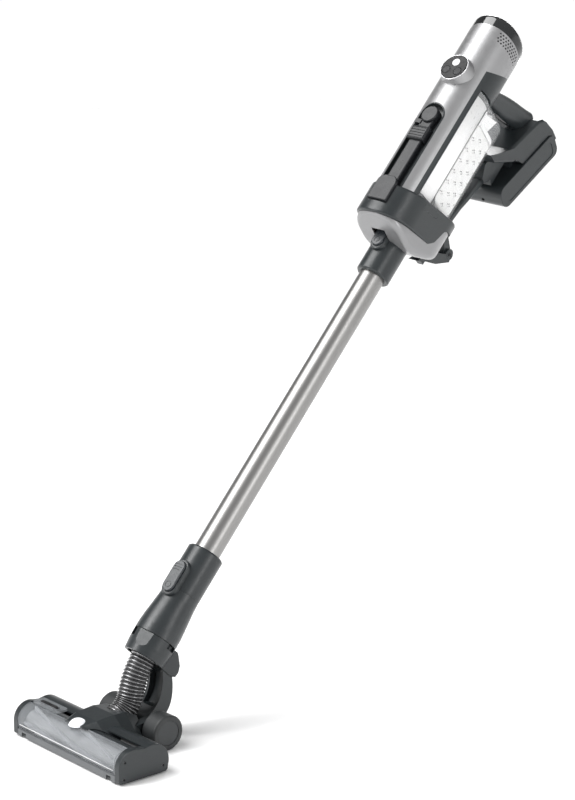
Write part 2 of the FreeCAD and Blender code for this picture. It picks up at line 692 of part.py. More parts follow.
def inlet_sleeve():
    """Socket for the wand, button bed, air pipe and the forked hinge arm."""
    body = revolve(
        [
            (SLEEVE_R - 1.8, SLEEVE_LOW_Q), (SLEEVE_R, SLEEVE_LOW_Q + 2), (SLEEVE_R, 845.0), (SLEEVE_R - 0.5, 845.1),
            (SLEEVE_R - 0.5, 845.8), (SLEEVE_R, 845.9), (SLEEVE_R, 860.0), (21.5, 863.0), (21.5, 881.0),
            (PASSAGE_R, 881.0), (PASSAGE_R, TUBE_TOP_Q + 0.4), (SOCKET_R, TUBE_TOP_Q + 0.4), (SOCKET_R, SLEEVE_LOW_Q),
        ]
    )
    bed = rounded(inlet_bed(-30.5), 2.0, lambda p, e: p.y < -30.4)
    arm = plate(
        [(60, 860), (78, 871), (100, 882), (126.0, 903.5), (121, 920), (111, 908), (96, 899), (79, 889), (70, 878)],
        -LUG_OUT_X,
        LUG_OUT_X,
    )
    arm = joined(arm, across(LUG_R, HINGE_S, HINGE_Q, -LUG_OUT_X, LUG_OUT_X))
    arm = arm.cut(box((-LUG_IN_X, LUG_IN_X), (97, 140), (888, 940)))
    arm = arm.cut(across(PIN_R, HINGE_S, HINGE_Q, -20, 20)).cut(door_bowl(0.0))
    root = plate([(15, 838), (66, 862), (72, 878), (60, 876), (15, 850)], -LUG_OUT_X, LUG_OUT_X)
    root = root.common(door_bowl(WALL)).cut(up(SOCKET_R, 0, 0, 800, 900))
    bridge = box((-5, 5), (62, 80), (866, 880))
    body = joined(body, bed, arm, root, bridge)
    body = body.cut(up(SOCKET_R, 0, 0, SLEEVE_LOW_Q - 1, TUBE_TOP_Q + 0.4))
    body = body.cut(up(PASSAGE_R, 0, 0, TUBE_TOP_Q, 890.0))
    low, high = INLET_BUTTON
    body = body.cut(pill(BUTTON_HALF + GAP, low - GAP, high + GAP, -40.0, -26.4))
    return max(body.Solids, key=lambda s: s.Volume)


def inlet_bed(face):
    low, high = INLET_BUTTON
    return pill(BUTTON_HALF + 2.6, low - 4.5, high + 4.5, face, -20.0)


def inlet_button():
    return pill_button(*INLET_BUTTON, -34.0)


def inlet_button_spring():
    return coil(3.2, 0.4, 4, -29.4, -26.45, sum(INLET_BUTTON) / 2)


DOOR_R = 43.0
DOOR_REAR_R = 44.0
DOOR_ROUND = 9.0
RIM = ((-95.0, 846.5), (16.0, 868.7), (25.0, 878.0), (33.0, 902.0), (42.0, 908.5), (95.0, 919.0))
BOWL = (
    (-86.0, 854.0), (-76.0, 848.5), (-62.0, 845.0), (-42.0, 841.5), (-20.0, 838.5), (0.0, 839.0), (19.0, 845.0),
    (43.0, 857.0), (62.0, 870.5), (72.0, 884.0), (77.0, 898.0), (79.0, 912.0),
)


def door_bowl(inset):
    """The door's outer solid, or the same drawn in by a wall."""
    points = [(s, q) for s, q in BOWL]
    middle = (0.0, 900.0)
    low = []
    for k, (s, q) in enumerate(points):
        before = points[max(k - 1, 0)]
        after = points[min(k + 1, len(points) - 1)]
        run = math.hypot(after[0] - before[0], after[1] - before[1])
        out = ((after[1] - before[1]) / run, -(after[0] - before[0]) / run)
        low.append(Vector(-REACH, s - out[0] * inset, q - out[1] * inset))
    curve = Part.BSplineCurve()
    curve.interpolate(low)
    top = middle[1] + 50.0
    ends = [low[-1], Vector(-REACH, low[-1].y, top), Vector(-REACH, low[0].y, top), low[0]]
    lines = [Part.LineSegment(a, b).toShape() for a, b in zip(ends, ends[1:])]
    side = Part.Face(Part.Wire([curve.toShape()] + lines)).extrude(Vector(2 * REACH, 0, 0))
    bowl = hull(DOOR_R - inset, MOTOR_S, DOOR_REAR_R - inset, RING_REAR_S, 800, 950).common(side)
    radius = DOOR_ROUND - inset / 2
    bowl = rounded(bowl, radius, lambda p, e: p.z < 890 and e.Length > 20 and abs(p.x) > 4)
    return bowl.cut(rim_block(-GAP))


def rim_block(lift):
    """Everything above the line where the ring meets the door."""
    line = [(s, q + lift) for s, q in RIM]
    return plate(line + [(95.0, 1100.0), (-95.0, 1100.0)], -REACH, REACH)


def door_shell():
    """The pale bowl at the front of the hand unit, open towards the bin."""
    bowl = door_bowl(0.0).cut(door_bowl(WALL)).cut(rim_block(-GAP))
    bowl = bowl.cut(up(SLEEVE_R, 0, 0, 800, 900)).cut(inlet_bed(-44.0))
    bowl = bowl.cut(inlet_sleeve())
    return max(bowl.Solids, key=lambda s: s.Volume)


def door_gasket():
    """Two strips of rubber seal just inside the door's rim."""
    outer = hull(DOOR_R - WALL - 0.1, MOTOR_S, DOOR_REAR_R - WALL - 0.1, RING_REAR_S, 800, 950)
    inner = hull(DOOR_R - WALL - 3.6, MOTOR_S, DOOR_REAR_R - WALL - 3.6, RING_REAR_S, 799, 951)
    band = plate([(-40.0, 854.8), (12.0, 865.2), (12.0, 867.4), (-40.0, 857.0)], -REACH, REACH)
    return outer.cut(inner).common(band).cut(inlet_bed(-44.0)).cut(door_shell())


def door_hinge_pin():
    return across(PIN_R, HINGE_S, HINGE_Q, -LUG_OUT_X - 1.0, LUG_OUT_X + 1.0)


# ---- hand unit (wand frame) ----
SEAT_DROP = 12.0        # how far bin and housing sit down in the ring
CHANNEL_TOP_Q = 1048.0
CHANNEL_HALF = 21.5
CHANNEL_FLOOR_S = -66.5
COVER_HALF_ANGLE = 54.0
STRIP_HALF_ANGLE = 65.0
SHELL_T = 2.3
BIN_T = 2.0


def motor_shell(r, q0, q1):
    return up(r, 0, MOTOR_S, q0, q1)


def front_sector(half_angle):
    """A wedge of the cylinder round its front line."""
    t = math.radians(half_angle)
    reach = 120.0
    left = Vector(-reach * math.sin(t), MOTOR_S - reach * math.cos(t), 800.0)
    right = Vector(reach * math.sin(t), MOTOR_S - reach * math.cos(t), 800.0)
    wire = Part.makePolygon([Vector(0, MOTOR_S, 800.0), left, right, Vector(0, MOTOR_S, 800.0)])
    return Part.Face(wire).extrude(Vector(0, 0, 500.0))


def below_seam():
    return slanted(700.0, 0.0, SEAM_Q, SEAM_SLOPE, MOTOR_S)


def below_frame_top():
    return slanted(700.0, 0.0, FRAME_TOP_Q, FRAME_SLOPE, MOTOR_S)


def seat():
    """Everything under the ledge in the ring that carries bin and housing."""
    return slanted(700.0, 0.0, RING_TOP_Q - SEAT_DROP, RING_SLOPE)


def channel_block():
    """The sunk bed of the door latch, flush with the silver cylinder."""
    block = motor_shell(MOTOR_R, 870.0, CHANNEL_TOP_Q)
    mask = pill(CHANNEL_HALF, 830.0, CHANNEL_TOP_Q, -80, CHANNEL_FLOOR_S + 2.5)
    return block.common(mask).cut(seat())


def ring_hull(inset):
    return hull(RING_R - inset, MOTOR_S, RING_REAR_R - inset, RING_REAR_S, 800, 980)


def ring_block():
    ring = ring_hull(0.0).common(slanted(700.0, 0.0, RING_TOP_Q, RING_SLOPE)).common(rim_block(0.0))
    ring = rounded(ring, 3.6, lambda p, e: abs(p.z - RING_TOP_Q - RING_SLOPE * p.y) < 0.3)
    return rounded(ring, 3.0, lambda p, e: p.z < 872.0 and e.Length > 60)


def ring_mouth():
    """The way through the ring into the bin."""
    return hull(37.5, MOTOR_S, 34.0, BIN_S, 800, 980)


def front_ring():
    """The dark ring that holds bin and motor housing, with the latch bed."""
    well = joined(motor_shell(MOTOR_R, 800, 980), bin_outline(0.0, 800, 980)).cut(seat())
    ring = ring_block().cut(ring_mouth()).cut(well)
    trough = pill(CHANNEL_HALF - 2.0, 820.0, CHANNEL_TOP_Q - 2.0, -90, CHANNEL_FLOOR_S)
    body = joined(ring, channel_block()).cut(trough.cut(slanted(700, 0, RING_TOP_Q, RING_SLOPE)))
    body = body.cut(box((-TAB_HALF - 0.5, TAB_HALF + 0.5), (-95, TAB_BACK_S + 0.4), (TAB_LOW_Q - 2.5, 930.0)))
    return body_keep(body.cut(lower_spine()))


def body_keep(shape):
    return max(shape.Solids, key=lambda s: s.Volume)


LATCH_TRAVEL = 5.0
TAB_HALF = 17.0
TAB_LOW_Q = 869.0
TAB_FACE_S = -82.6
TAB_BACK_S = -77.4


def door_latch():
    """A long slider: thumb pad, link bar and a wide tab over the ring."""
    back = CHANNEL_FLOOR_S - 0.5
    head = rounded(pill(13.0, 1012.0, 1040.0, -79.0, back), 2.0, lambda p, e: p.y < -78.9)
    pad = rounded(box((-15, 15), (-80.5, back), (980, 1003)), 3.0, lambda p, e: p.y < -80.4)
    link = rounded(box((-10.5, 10.5), (-75.5, back), (903.8, 1020)), 2.0, lambda p, e: p.y < -75.4)
    bridge = box((-10.5, 10.5), (TAB_FACE_S + 1.5, -70.0), (904.0, 909.5))
    tab = box((-TAB_HALF, TAB_HALF), (TAB_FACE_S, TAB_BACK_S), (TAB_LOW_Q, 911.0))
    tab = rounded(tab, 12.0, lambda p, e: p.z > 910.9 and e.Length < 8)
    tab = rounded(tab, 1.6, lambda p, e: p.y < TAB_FACE_S + 0.1)
    nub = box((-18.5, -8.0), (-77.0, -70.0), (1008.5, 1015.0))
    for k in range(4):
        q = 984.5 + 4.6 * k
        pad = pad.cut(box((-12, 12), (-82, -79.7), (q, q + 1.5)))
    return joined(head, pad, link, bridge, tab, nub)


PANEL_Q = 1107.0
PANEL_R = 21.0
BOSS_R = 22.6
BOSS_FOOT_R = 27.0
PANEL_FACE_S = -86.3
BOSS_TOP_S = -84.5
POWER_BUTTON = (0.0, 1114.5, 6.0)
FUNCTION_BUTTONS = ((-10.0, 1100.0, 6.4), (10.0, 1100.0, 6.4))


def motor_housing():
    """The silver front cover, with a round boss for the control panel."""
    cover = motor_shell(MOTOR_R, 860, 1200).cut(motor_shell(MOTOR_R - SHELL_T, 850, 1210))
    cover = cover.common(front_sector(COVER_HALF_ANGLE)).cut(seat()).common(below_seam())
    boss = Part.makeCone(BOSS_FOOT_R, BOSS_R, 20.0, Vector(0, BOSS_TOP_S + 20.0, PANEL_Q), Vector(0, -1, 0))
    boss = boss.cut(motor_shell(MOTOR_R - SHELL_T, 850, 1210))
    body = joined(cover, boss).common(below_seam())
    body = body.cut(rod(PANEL_R - 1.5, Vector(0, BOSS_TOP_S - 1, PANEL_Q), Y_AXIS, 12.0))
    mask = pill(CHANNEL_HALF, 830.0, CHANNEL_TOP_Q, -120, -40)
    return body_keep(body.cut(mask))


def control_panel():
    panel = rod(PANEL_R, Vector(0, PANEL_FACE_S, PANEL_Q), Y_AXIS, BOSS_TOP_S - PANEL_FACE_S)
    panel = rounded(panel, 0.9, lambda p, e: p.y < PANEL_FACE_S + 0.1)
    for x, q, r in (POWER_BUTTON,) + FUNCTION_BUTTONS:
        panel = panel.cut(rod(r + GAP, Vector(x, PANEL_FACE_S - 1, q), Y_AXIS, 10))
    return panel


def round_button(x, q, r, proud):
    body = rod(r, Vector(x, PANEL_FACE_S - proud, q), Y_AXIS, proud + 4.0)
    return rounded(body, 0.7, lambda p, e: p.y < PANEL_FACE_S - proud + 0.1)


def power_button():
    return round_button(*POWER_BUTTON, 1.0)


def function_button(index):
    return round_button(*FUNCTION_BUTTONS[index], 0.3)


HOLE_R = 1.4


def rear_sleeve():
    """The upper silver sleeve with a patch of exhaust holes on each side."""
    sleeve = motor_shell(MOTOR_R, 1100, 1230).cut(motor_shell(MOTOR_R - SHELL_T, 1090, 1240))
    sleeve = sleeve.common(slanted(1000.0, 0.0, CAP_LOW_Q, CAP_SLOPE, MOTOR_S))
    front = front_sector(COVER_HALF_ANGLE)
    sleeve = sleeve.cut(below_seam().common(front)).cut(below_frame_top().cut(front))
    holes = []
    for row in range(4):
        for k in range(10):
            t = math.radians(40.0 + 6.8 * (k + 0.5 * (row % 2)))
            out = Vector(math.sin(t), -math.cos(t), 0)
            q = CAP_LOW_Q + CAP_SLOPE * (MOTOR_R * out.y) - 4.5 - 4.2 * row
            hole = rod(HOLE_R, Vector(0, MOTOR_S, q) + out * (MOTOR_R - 5), out, 8)
            holes += [hole, mirrored(hole)]
    return body_keep(sleeve.cut(Part.makeCompound(holes)))


def top_cap():
    """The glossy slanted cap that closes the silver cylinder."""
    outer = motor_shell(MOTOR_R, 1100, 1260).common(slanted(1000.0, 0.0, UNIT_TOP_Q, TOP_SLOPE, MOTOR_S))
    outer = outer.cut(slanted(900.0, 0.0, CAP_LOW_Q, CAP_SLOPE, MOTOR_S))
    outer = rounded(outer, 8.5, lambda p, e: abs(p.z - UNIT_TOP_Q - TOP_SLOPE * (p.y - MOTOR_S)) < 0.5)
    inner = motor_shell(MOTOR_R - 4.5, 1100, 1260).common(slanted(1000.0, 0.0, UNIT_TOP_Q - 3.5, TOP_SLOPE, MOTOR_S))
    return body_keep(outer.cut(inner))


def body_frame():
    """The dark back of the cylinder and the strips beside the silver cover."""
    upper = motor_shell(MOTOR_R, BIN_TOP_Q + 0.3, 1200).cut(motor_shell(MOTOR_R - SHELL_T, 850, 1210))
    strips = motor_shell(MOTOR_R, 850, BIN_TOP_Q + 0.3).common(front_sector(STRIP_HALF_ANGLE))
    lower = motor_shell(MOTOR_R - SHELL_T, 850, BIN_TOP_Q + 0.3)
    core = joined(lower, strips, upper).cut(motor_shell(MOTOR_R - 2 * SHELL_T, 840, 1210))
    core = core.cut(front_sector(COVER_HALF_ANGLE)).cut(seat()).common(below_frame_top())
    ledge = motor_shell(MOTOR_R - SHELL_T, BIN_TOP_Q + 0.3, 1200).cut(motor_shell(MOTOR_R - 2 * SHELL_T, 850, 1210))
    ledge = ledge.common(slanted(700, 0, BIN_TOP_Q + 6.0, 0.0))
    ledge = ledge.cut(front_sector(COVER_HALF_ANGLE))
    return body_keep(joined(core, ledge))


def bin_outline(inset, q0, q1):
    """Plan of the bin: flush with the cylinder's sides, round at the rear."""
    outline = hull(MOTOR_R - inset, MOTOR_S, BIN_R - inset, BIN_S, q0, q1)
    return outline.cut(front_sector(STRIP_HALF_ANGLE + 0.3)).cut(motor_shell(MOTOR_R - SHELL_T + 0.1 + inset, q0 - 1, q1 + 1))


BIN_ROUND = 7.0


def bin_solid(inset, q0, q1, edge):
    body = hull(MOTOR_R - inset, MOTOR_S, BIN_R - inset, BIN_S, q0, q1)
    body = rounded(body, edge, lambda p, e: p.z > q1 - 0.1)
    body = body.cut(front_sector(STRIP_HALF_ANGLE + 0.4 + inset))
    return body_keep(body.cut(motor_shell(MOTOR_R - SHELL_T + 0.1 + inset, q0 - 1, q1 + 1)))


def clear_bin():
    outer = bin_solid(0.0, 860.0, BIN_TOP_Q, BIN_ROUND)
    inner = bin_solid(BIN_T, 850.0, BIN_TOP_Q - BIN_T, BIN_ROUND - BIN_T)
    return body_keep(outer.cut(inner).cut(seat()))


POD_TOP_Q = 1064.0


def dust_pod():
    """The fabric dust pod inside the bin, a plain closed solid."""
    return bin_solid(5.0, 925.0, POD_TOP_Q, 4.0)


def pod_cap():
    """White cap of the pod, with a pull loop on top."""
    cap = bin_solid(3.5, POD_TOP_Q + 0.1, POD_TOP_Q + 8.0, 2.5)
    loop = box((-9, 9), (36, 46), (POD_TOP_Q + 7, POD_TOP_Q + 24))
    loop = rounded(loop, 3.0, lambda p, e: p.z > POD_TOP_Q + 20)
    return joined(cap, loop.cut(box((-5.5, 5.5), (30, 50), (POD_TOP_Q + 11, POD_TOP_Q + 20))))


SPINE_HALF = 14.0


def lower_spine():
    """The spine behind the bin, from the cradle down to the hinge knuckle."""
    outline = [
        (66, 922), (79, 925), (78, 948), (81, 970), (87, 993), (90, 1010), (95, 1028), (97, 1040),
        (84, 1040), (81, 1020), (77, 993), (71, 965), (67, 945),
    ]
    spine = plate(outline, -SPINE_HALF, SPINE_HALF)
    spine = rounded(spine, 2.5, lambda p, e: abs(abs(p.x) - SPINE_HALF) < 0.1 and p.y > 77.5 and 930 < p.z < 1030)
    half = LUG_IN_X - 0.3
    knuckle = plate([(70, 938), (84, 939), (101, 930), (121, 920), (112, 905), (100, 917), (84, 925), (70, 922)], -half, half)
    knuckle = joined(knuckle, across(LUG_R - 0.3, HINGE_S, HINGE_Q, -half, half))
    spine = joined(spine, knuckle).cut(across(PIN_R + RUNNING, HINGE_S, HINGE_Q, -20, 20))
    return spine.cut(bin_outline(0.0, 800, 1098))


HANDLE_FRAME = Placement(Vector(0, HANDLE_S, HANDLE_Q), Rotation(X_AXIS, HANDLE_TILT - 90.0))


def in_handle(shape):
    """From the handle's own frame (Z along the handle, Y towards its finger side)."""
    shape = shape.copy()
    shape.Placement = HANDLE_FRAME.multiply(shape.Placement)
    return shape


HANDLE_SECTIONS = ((-6.0, 17.0, 16.5), (18.0, 16.0, 16.0), (50.0, 15.5, 19.0), (78.0, 16.0, 20.0), (112.0, 19.0, 20.5))
GRIP_Y = 19.5


def oval_wire(z, rx, ry):
    """A closed smooth oval with slightly flattened sides."""
    points = []
    for k in range(16):
        t = 2 * math.pi * (k + 0.5) / 16
        cos, sin = math.cos(t), math.sin(t)
        x = rx * math.copysign(abs(cos) ** 0.85, cos)
        y = ry * math.copysign(abs(sin) ** 0.85, sin)
        points.append(Vector(x, y, z))
    curve = Part.BSplineCurve()
    curve.interpolate(points, PeriodicFlag=True)
    return Part.Wire(curve.toShape())


def handle():
    """The hand grip between the cylinder's back and the battery cradle."""
    grip = in_handle(Part.makeLoft([oval_wire(*s) for s in HANDLE_SECTIONS], True, False))
    grip = grip.cut(motor_shell(MOTOR_R, 1000, 1300)).cut(cradle_solid()).cut(handle_grip())
    grip = grip.cut(battery_block(1.0))
    return body_keep(grip.cut(bin_solid(0.0, 1000, BIN_TOP_Q + 0.3, BIN_ROUND)))


def handle_grip():
    """Soft insert on the finger side of the handle."""
    insert = pill(8.0, 24.0, 80.0, GRIP_Y - 4.5, GRIP_Y + 1.0)
    insert = rounded(insert, 1.6, lambda p, e: p.y > GRIP_Y + 0.9)
    return in_handle(insert)


CRADLE_HALF = 34.0
CRADLE_WIDE = (
    (50, 1054), (60, 1064), (85, 1092), (98, 1131), (110, 1166), (118, 1175), (129, 1179), (151, 1182), (172, 1179.5),
    (172, 1170), (142, 1150), (136, 1110), (130, 1098), (121, 1095), (92, 1072), (69, 1054),
)
CRADLE_NARROW = ((69, 1048), (69, 1056), (90, 1074), (122, 1097), (130, 1094), (110, 1034), (98, 1041), (90, 1028), (80, 1030))


def cradle_solid():
    """Strut and battery cradle as one block (wand frame)."""
    wide = plate([(float(s), float(q)) for s, q in CRADLE_WIDE], -CRADLE_HALF, CRADLE_HALF)
    wide = rounded(wide, 4.0, lambda p, e: abs(abs(p.x) - CRADLE_HALF) < 0.1 and p.z > 1079 and (p.y < 118 or p.z > 1175))
    narrow = plate([(float(s), float(q)) for s, q in CRADLE_NARROW], -19.0, 19.0)
    return joined(wide, narrow)


BATTERY_FRAME = Placement(Vector(0, BATTERY_S, BATTERY_Q), Rotation(X_AXIS, -BATTERY_TILT))


def in_battery(shape):
    """From the battery's own frame (Z along it, Y away from the handle)."""
    shape = shape.copy()
    shape.Placement = BATTERY_FRAME.multiply(shape.Placement)
    return shape


def battery_raw(grow, round_low, round_high):
    half_w = BATTERY_W / 2 + grow
    half_t = BATTERY_T / 2 + grow
    half_l = BATTERY_L / 2 + grow
    shape = box((-half_w, half_w), (-half_t, half_t), (-half_l, half_l))
    shape = rounded(shape, round_low, lambda p, e: p.z < -half_l + 0.1 and abs(p.x) < 1)
    return rounded(shape, round_high, lambda p, e: p.z > half_l - 0.1 and abs(p.x) < 1)


def battery_block(grow=0.0):
    return in_battery(battery_raw(grow, 15.0 + grow, 11.5 + grow))


def battery_cradle():
    block = cradle_solid().cut(battery_block(0.4))
    block = block.cut(in_battery(box((-40, 40), (-3.0, 60), (0, 140))))
    block = block.cut(in_battery(box((-40, 40), (-60, -BATTERY_T / 2 + 4.0), (-75.0, -20.0))).common(
        box((-40, 40), (106, 166), (1000, 1098))))
    block = block.cut(bin_outline(0.0, 900, BIN_TOP_Q)).cut(lower_spine())
    path = in_battery(box((-38, 38), (-BATTERY_T / 2 - 0.4, 60), (-220, 60)))
    return body_keep(block.cut(path))


CHARGE_R = 2.8
CHARGE_DEPTH = 10.0
CHARGE_Y = 4.0
CASE_T = 2.6


def battery_case():
    """Battery pack: rounded shell with a sunk side panel and the charging socket."""
    case = battery_raw(0.0, 15.0, 11.5)
    case = rounded(case, 1.2, lambda p, e: abs(abs(p.x) - BATTERY_W / 2) < 0.1)
    hollow = battery_raw(-CASE_T, 12.0, 9.0)
    hollow = hollow.cut(box((-40, 40), (-40, 40), (-90, -BATTERY_L / 2 + CHARGE_DEPTH + 3.0)))
    hollow = hollow.cut(box((-40, 40), (-40, 40), (BATTERY_L / 2 - 9.0, 90)))
    case = case.cut(hollow)
    for side in (-1, 1):
        x = side * BATTERY_W / 2
        panel = box((x - 0.7, x + 0.7), (-BATTERY_T / 2 + 7, BATTERY_T / 2 - 6), (-BATTERY_L / 2 + 12, BATTERY_L / 2 - 11))
        case = case.cut(rounded(panel, 8.0, lambda p, e: abs(p.x - x) < 0.1 and e.Length < 2.1))
    case = case.cut(rod(CHARGE_R, Vector(0, CHARGE_Y, -BATTERY_L / 2 - 1), Z_AXIS, CHARGE_DEPTH + 1))
    case = case.cut(box((-8.4, 8.4), (1.0, 13.0), (BATTERY_L / 2 - 6.0, BATTERY_L / 2 + 1)))
    return in_battery(body_keep(case))


def battery_cells():
    """A row of round cells lying across the pack."""
    cells = []
    for k in range(5):
        centre = Vector(-33.0, 0.0, -48.0 + 22.0 * k)
        cells.append(rod(10.5, centre, X_AXIS, 66.0))
    return in_battery(group(cells))


def battery_latch():
    """Release tab on the battery's upper end."""
    top = BATTERY_L / 2
    tab = box((-14, 14), (2.0, 19.5), (top + 0.35, top + 4.0))
    tab = rounded(tab, 1.4, lambda p, e: p.z > top + 3.9)
    stem = box((-8, 8), (3.4, 12.0), (top - 5.5, top + 1.0))
    return in_battery(joined(tab, stem))


def suction_motor():
    can = motor_shell(25.0, 1148.0, 1180.0)
    mount = motor_shell(MOTOR_R - SHELL_T, 1154.0, 1160.0).cut(motor_shell(25.0, 1150, 1170))
    return joined(can, mount).cut(motor_shell(2.5 + RUNNING, 1147, 1170))


def impeller():
    hub = joined(motor_shell(8.0, 1128.0, 1146.0), motor_shell(2.5, 1128.0, 1168.0))
    disc = motor_shell(32.0, 1143.0, 1146.0)
    blades = []
    for k in range(9):
        blade = box((6, 31), (MOTOR_S - 0.8, MOTOR_S + 0.8), (1130, 1143.5))
        blade.rotate(Vector(0, MOTOR_S, 0), Z_AXIS, 40.0 * k)
        blades.append(blade)
    return joined(hub, disc, *blades)


def motor_filter():
    return motor_shell(MOTOR_R - 2 * SHELL_T, 1056.0, 1082.0).cut(motor_shell(14.0, 1050, 1090))


# ---- write the nodes ----
def nodes():
    row = {
        "lower_housing": lower_housing(),
        "top_cover": top_cover(),
        "front_window": front_window(),
        "front_sill": front_sill(),
        "right_end_cap": end_cap(1),
        "left_end_cap": end_cap(-1),
        "end_cap_screws": end_cap_screws(),
        "glide_strips": glide_strips(),
        "headlight_lens": headlight_lens(),
        "latch_frame": latch_frame(),
        "window_latch": window_latch(),
        "brush_motor": brush_motor(),
        "motor_pulley": motor_pulley(),
        "drive_belt": drive_belt(),
        "brush_bearings": brush_bearings(),
        "brush_core": brush_core(),
        "brush_bristles": brush_bristles(),
        "wheel_axle": wheel_axle(),
        "left_wheel_hub": wheel_hub(-1),
        "left_tyre": tyre(-1),
        "right_wheel_hub": wheel_hub(1),
        "right_tyre": tyre(1),
        "left_front_roller": front_roller(-1),
        "right_front_roller": front_roller(1),
        "yoke_arm": yoke_arm(),
        "neck_shroud": neck_shroud(),
        "suction_hose": suction_hose(),
    }
    wand = {
        "neck_collar": neck_collar(),
        "neck_button": neck_button(),
        "neck_button_spring": neck_button_spring(),
        "wand_tube": wand_tube(),
        "inlet_sleeve": inlet_sleeve(),
        "inlet_button": inlet_button(),
        "inlet_button_spring": inlet_button_spring(),
        "door_shell": door_shell(),
        "door_gasket": door_gasket(),
        "door_hinge_pin": door_hinge_pin(),
        "front_ring": front_ring(),
        "door_latch": door_latch(),
        "motor_housing": motor_housing(),
        "control_panel": control_panel(),
        "power_button": power_button(),
        "left_function_button": function_button(0),
        "right_function_button": function_button(1),
        "rear_sleeve": rear_sleeve(),
        "top_cap": top_cap(),
        "clear_bin": clear_bin(),
        "dust_pod": dust_pod(),
        "pod_cap": pod_cap(),
        "body_frame": body_frame(),
        "lower_spine": lower_spine(),
        "handle": handle(),
        "handle_grip": handle_grip(),
        "battery_cradle": battery_cradle(),
        "battery_case": battery_case(),
        "battery_cells": battery_cells(),
        "battery_latch": battery_latch(),
        "suction_motor": suction_motor(),
        "impeller": impeller(),
        "motor_filter": motor_filter(),
    }
    row.update({name: in_world(shape, True) for name, shape in wand.items()})
    return row


for name, shape in nodes().items():
    shape.exportStep(f"parts/{name}.step")
    print(name, round(shape.Volume / 1000.0, 2), "cm3", len(shape.Solids), "solids", shape.isValid())
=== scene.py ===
import json
import math

import bmesh
import bpy
from mathutils import Matrix, Vector
from mathutils.bvhtree import BVHTree


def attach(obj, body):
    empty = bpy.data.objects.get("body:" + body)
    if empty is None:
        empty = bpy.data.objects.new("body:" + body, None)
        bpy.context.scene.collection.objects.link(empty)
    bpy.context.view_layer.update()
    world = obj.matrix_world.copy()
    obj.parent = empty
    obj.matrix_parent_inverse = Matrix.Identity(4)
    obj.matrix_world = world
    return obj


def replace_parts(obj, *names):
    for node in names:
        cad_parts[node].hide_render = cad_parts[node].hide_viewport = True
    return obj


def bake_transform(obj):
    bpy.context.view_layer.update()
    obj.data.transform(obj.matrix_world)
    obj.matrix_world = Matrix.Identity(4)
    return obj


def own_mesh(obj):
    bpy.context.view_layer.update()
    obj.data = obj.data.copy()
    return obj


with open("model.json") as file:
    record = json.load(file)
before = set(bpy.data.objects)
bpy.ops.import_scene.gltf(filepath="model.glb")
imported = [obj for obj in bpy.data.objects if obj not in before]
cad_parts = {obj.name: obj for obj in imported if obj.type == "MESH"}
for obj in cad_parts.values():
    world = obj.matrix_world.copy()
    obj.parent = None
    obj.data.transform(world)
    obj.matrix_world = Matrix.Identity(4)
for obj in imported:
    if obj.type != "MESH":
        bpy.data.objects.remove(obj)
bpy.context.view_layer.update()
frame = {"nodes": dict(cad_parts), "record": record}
nodes = frame["nodes"]

# The wand's own frame: x across, s towards its under side, q up along it.
# UNIT is the same frame, turned about the wand as the hand unit stands at rest.
LEAN = math.radians(49.0)
UPRIGHT = math.radians(90.0)
UNIT_TURN = math.radians(10.0)
WAND_FOOT_Y = -0.026
WAND = Matrix.Translation((0, WAND_FOOT_Y, 0)) @ Matrix.Rotation(LEAN - UPRIGHT, 4, "X")
UNIT = WAND @ Matrix.Rotation(UNIT_TURN, 4, "Z")
ACROSS = Vector((1, 0, 0))
ALONG = Vector((0, 0, 1))
SIDES = ((-1, "left"), (1, "right"))
CYLINDER_S = -0.0336
BIN_CENTRE_S = 0.024


# ---- node material helpers ----
PLASTIC_IOR = 1.5
CLEAR_IOR = 1.45
STREAK = 0.06
COUNTER_LEAN = (UPRIGHT - LEAN, 0.0, 0.0)


def new_material(name):
    mat = bpy.data.materials.new(name)
    mat.use_nodes = True
    tree = mat.node_tree
    shader = tree.nodes["Principled BSDF"]
    return mat, tree, shader


def coords(tree, scale=(1.0, 1.0, 1.0), rotation=(0.0, 0.0, 0.0)):
    """Object coordinates in metres, turned and scaled."""
    tex = tree.nodes.new("ShaderNodeTexCoord")
    mapping = tree.nodes.new("ShaderNodeMapping")
    mapping.inputs["Rotation"].default_value = rotation
    mapping.inputs["Scale"].default_value = scale
    tree.links.new(tex.outputs["Object"], mapping.inputs["Vector"])
    return mapping.outputs["Vector"]


def noise(tree, vector, scale, detail):
    grain = tree.nodes.new("ShaderNodeTexNoise")
    grain.inputs["Scale"].default_value = scale
    grain.inputs["Detail"].default_value = detail
    grain.inputs["Roughness"].default_value = 0.5
    tree.links.new(vector, grain.inputs["Vector"])
    return grain.outputs["Fac"]


def remap(tree, value, low, high):
    """Spreads the middle of a noise over a range of values."""
    spread = tree.nodes.new("ShaderNodeMapRange")
    spread.inputs["From Min"].default_value = 0.3
    spread.inputs["From Max"].default_value = 0.7
    spread.inputs["To Min"].default_value = low
    spread.inputs["To Max"].default_value = high
    tree.links.new(value, spread.inputs["Value"])
    return spread.outputs["Result"]


def mix_colour(tree, fac, first, second):
    mix = tree.nodes.new("ShaderNodeMix")
    mix.data_type = "RGBA"
    mix.inputs[6].default_value = (*first, 1.0)
    mix.inputs[7].default_value = (*second, 1.0)
    tree.links.new(fac, mix.inputs[0])
    return mix.outputs[2]


def bump(tree, shader, height, strength, distance):
    relief = tree.nodes.new("ShaderNodeBump")
    relief.inputs["Strength"].default_value = strength
    relief.inputs["Distance"].default_value = distance
    tree.links.new(height, relief.inputs["Height"])
    tree.links.new(relief.outputs["Normal"], shader.inputs["Normal"])


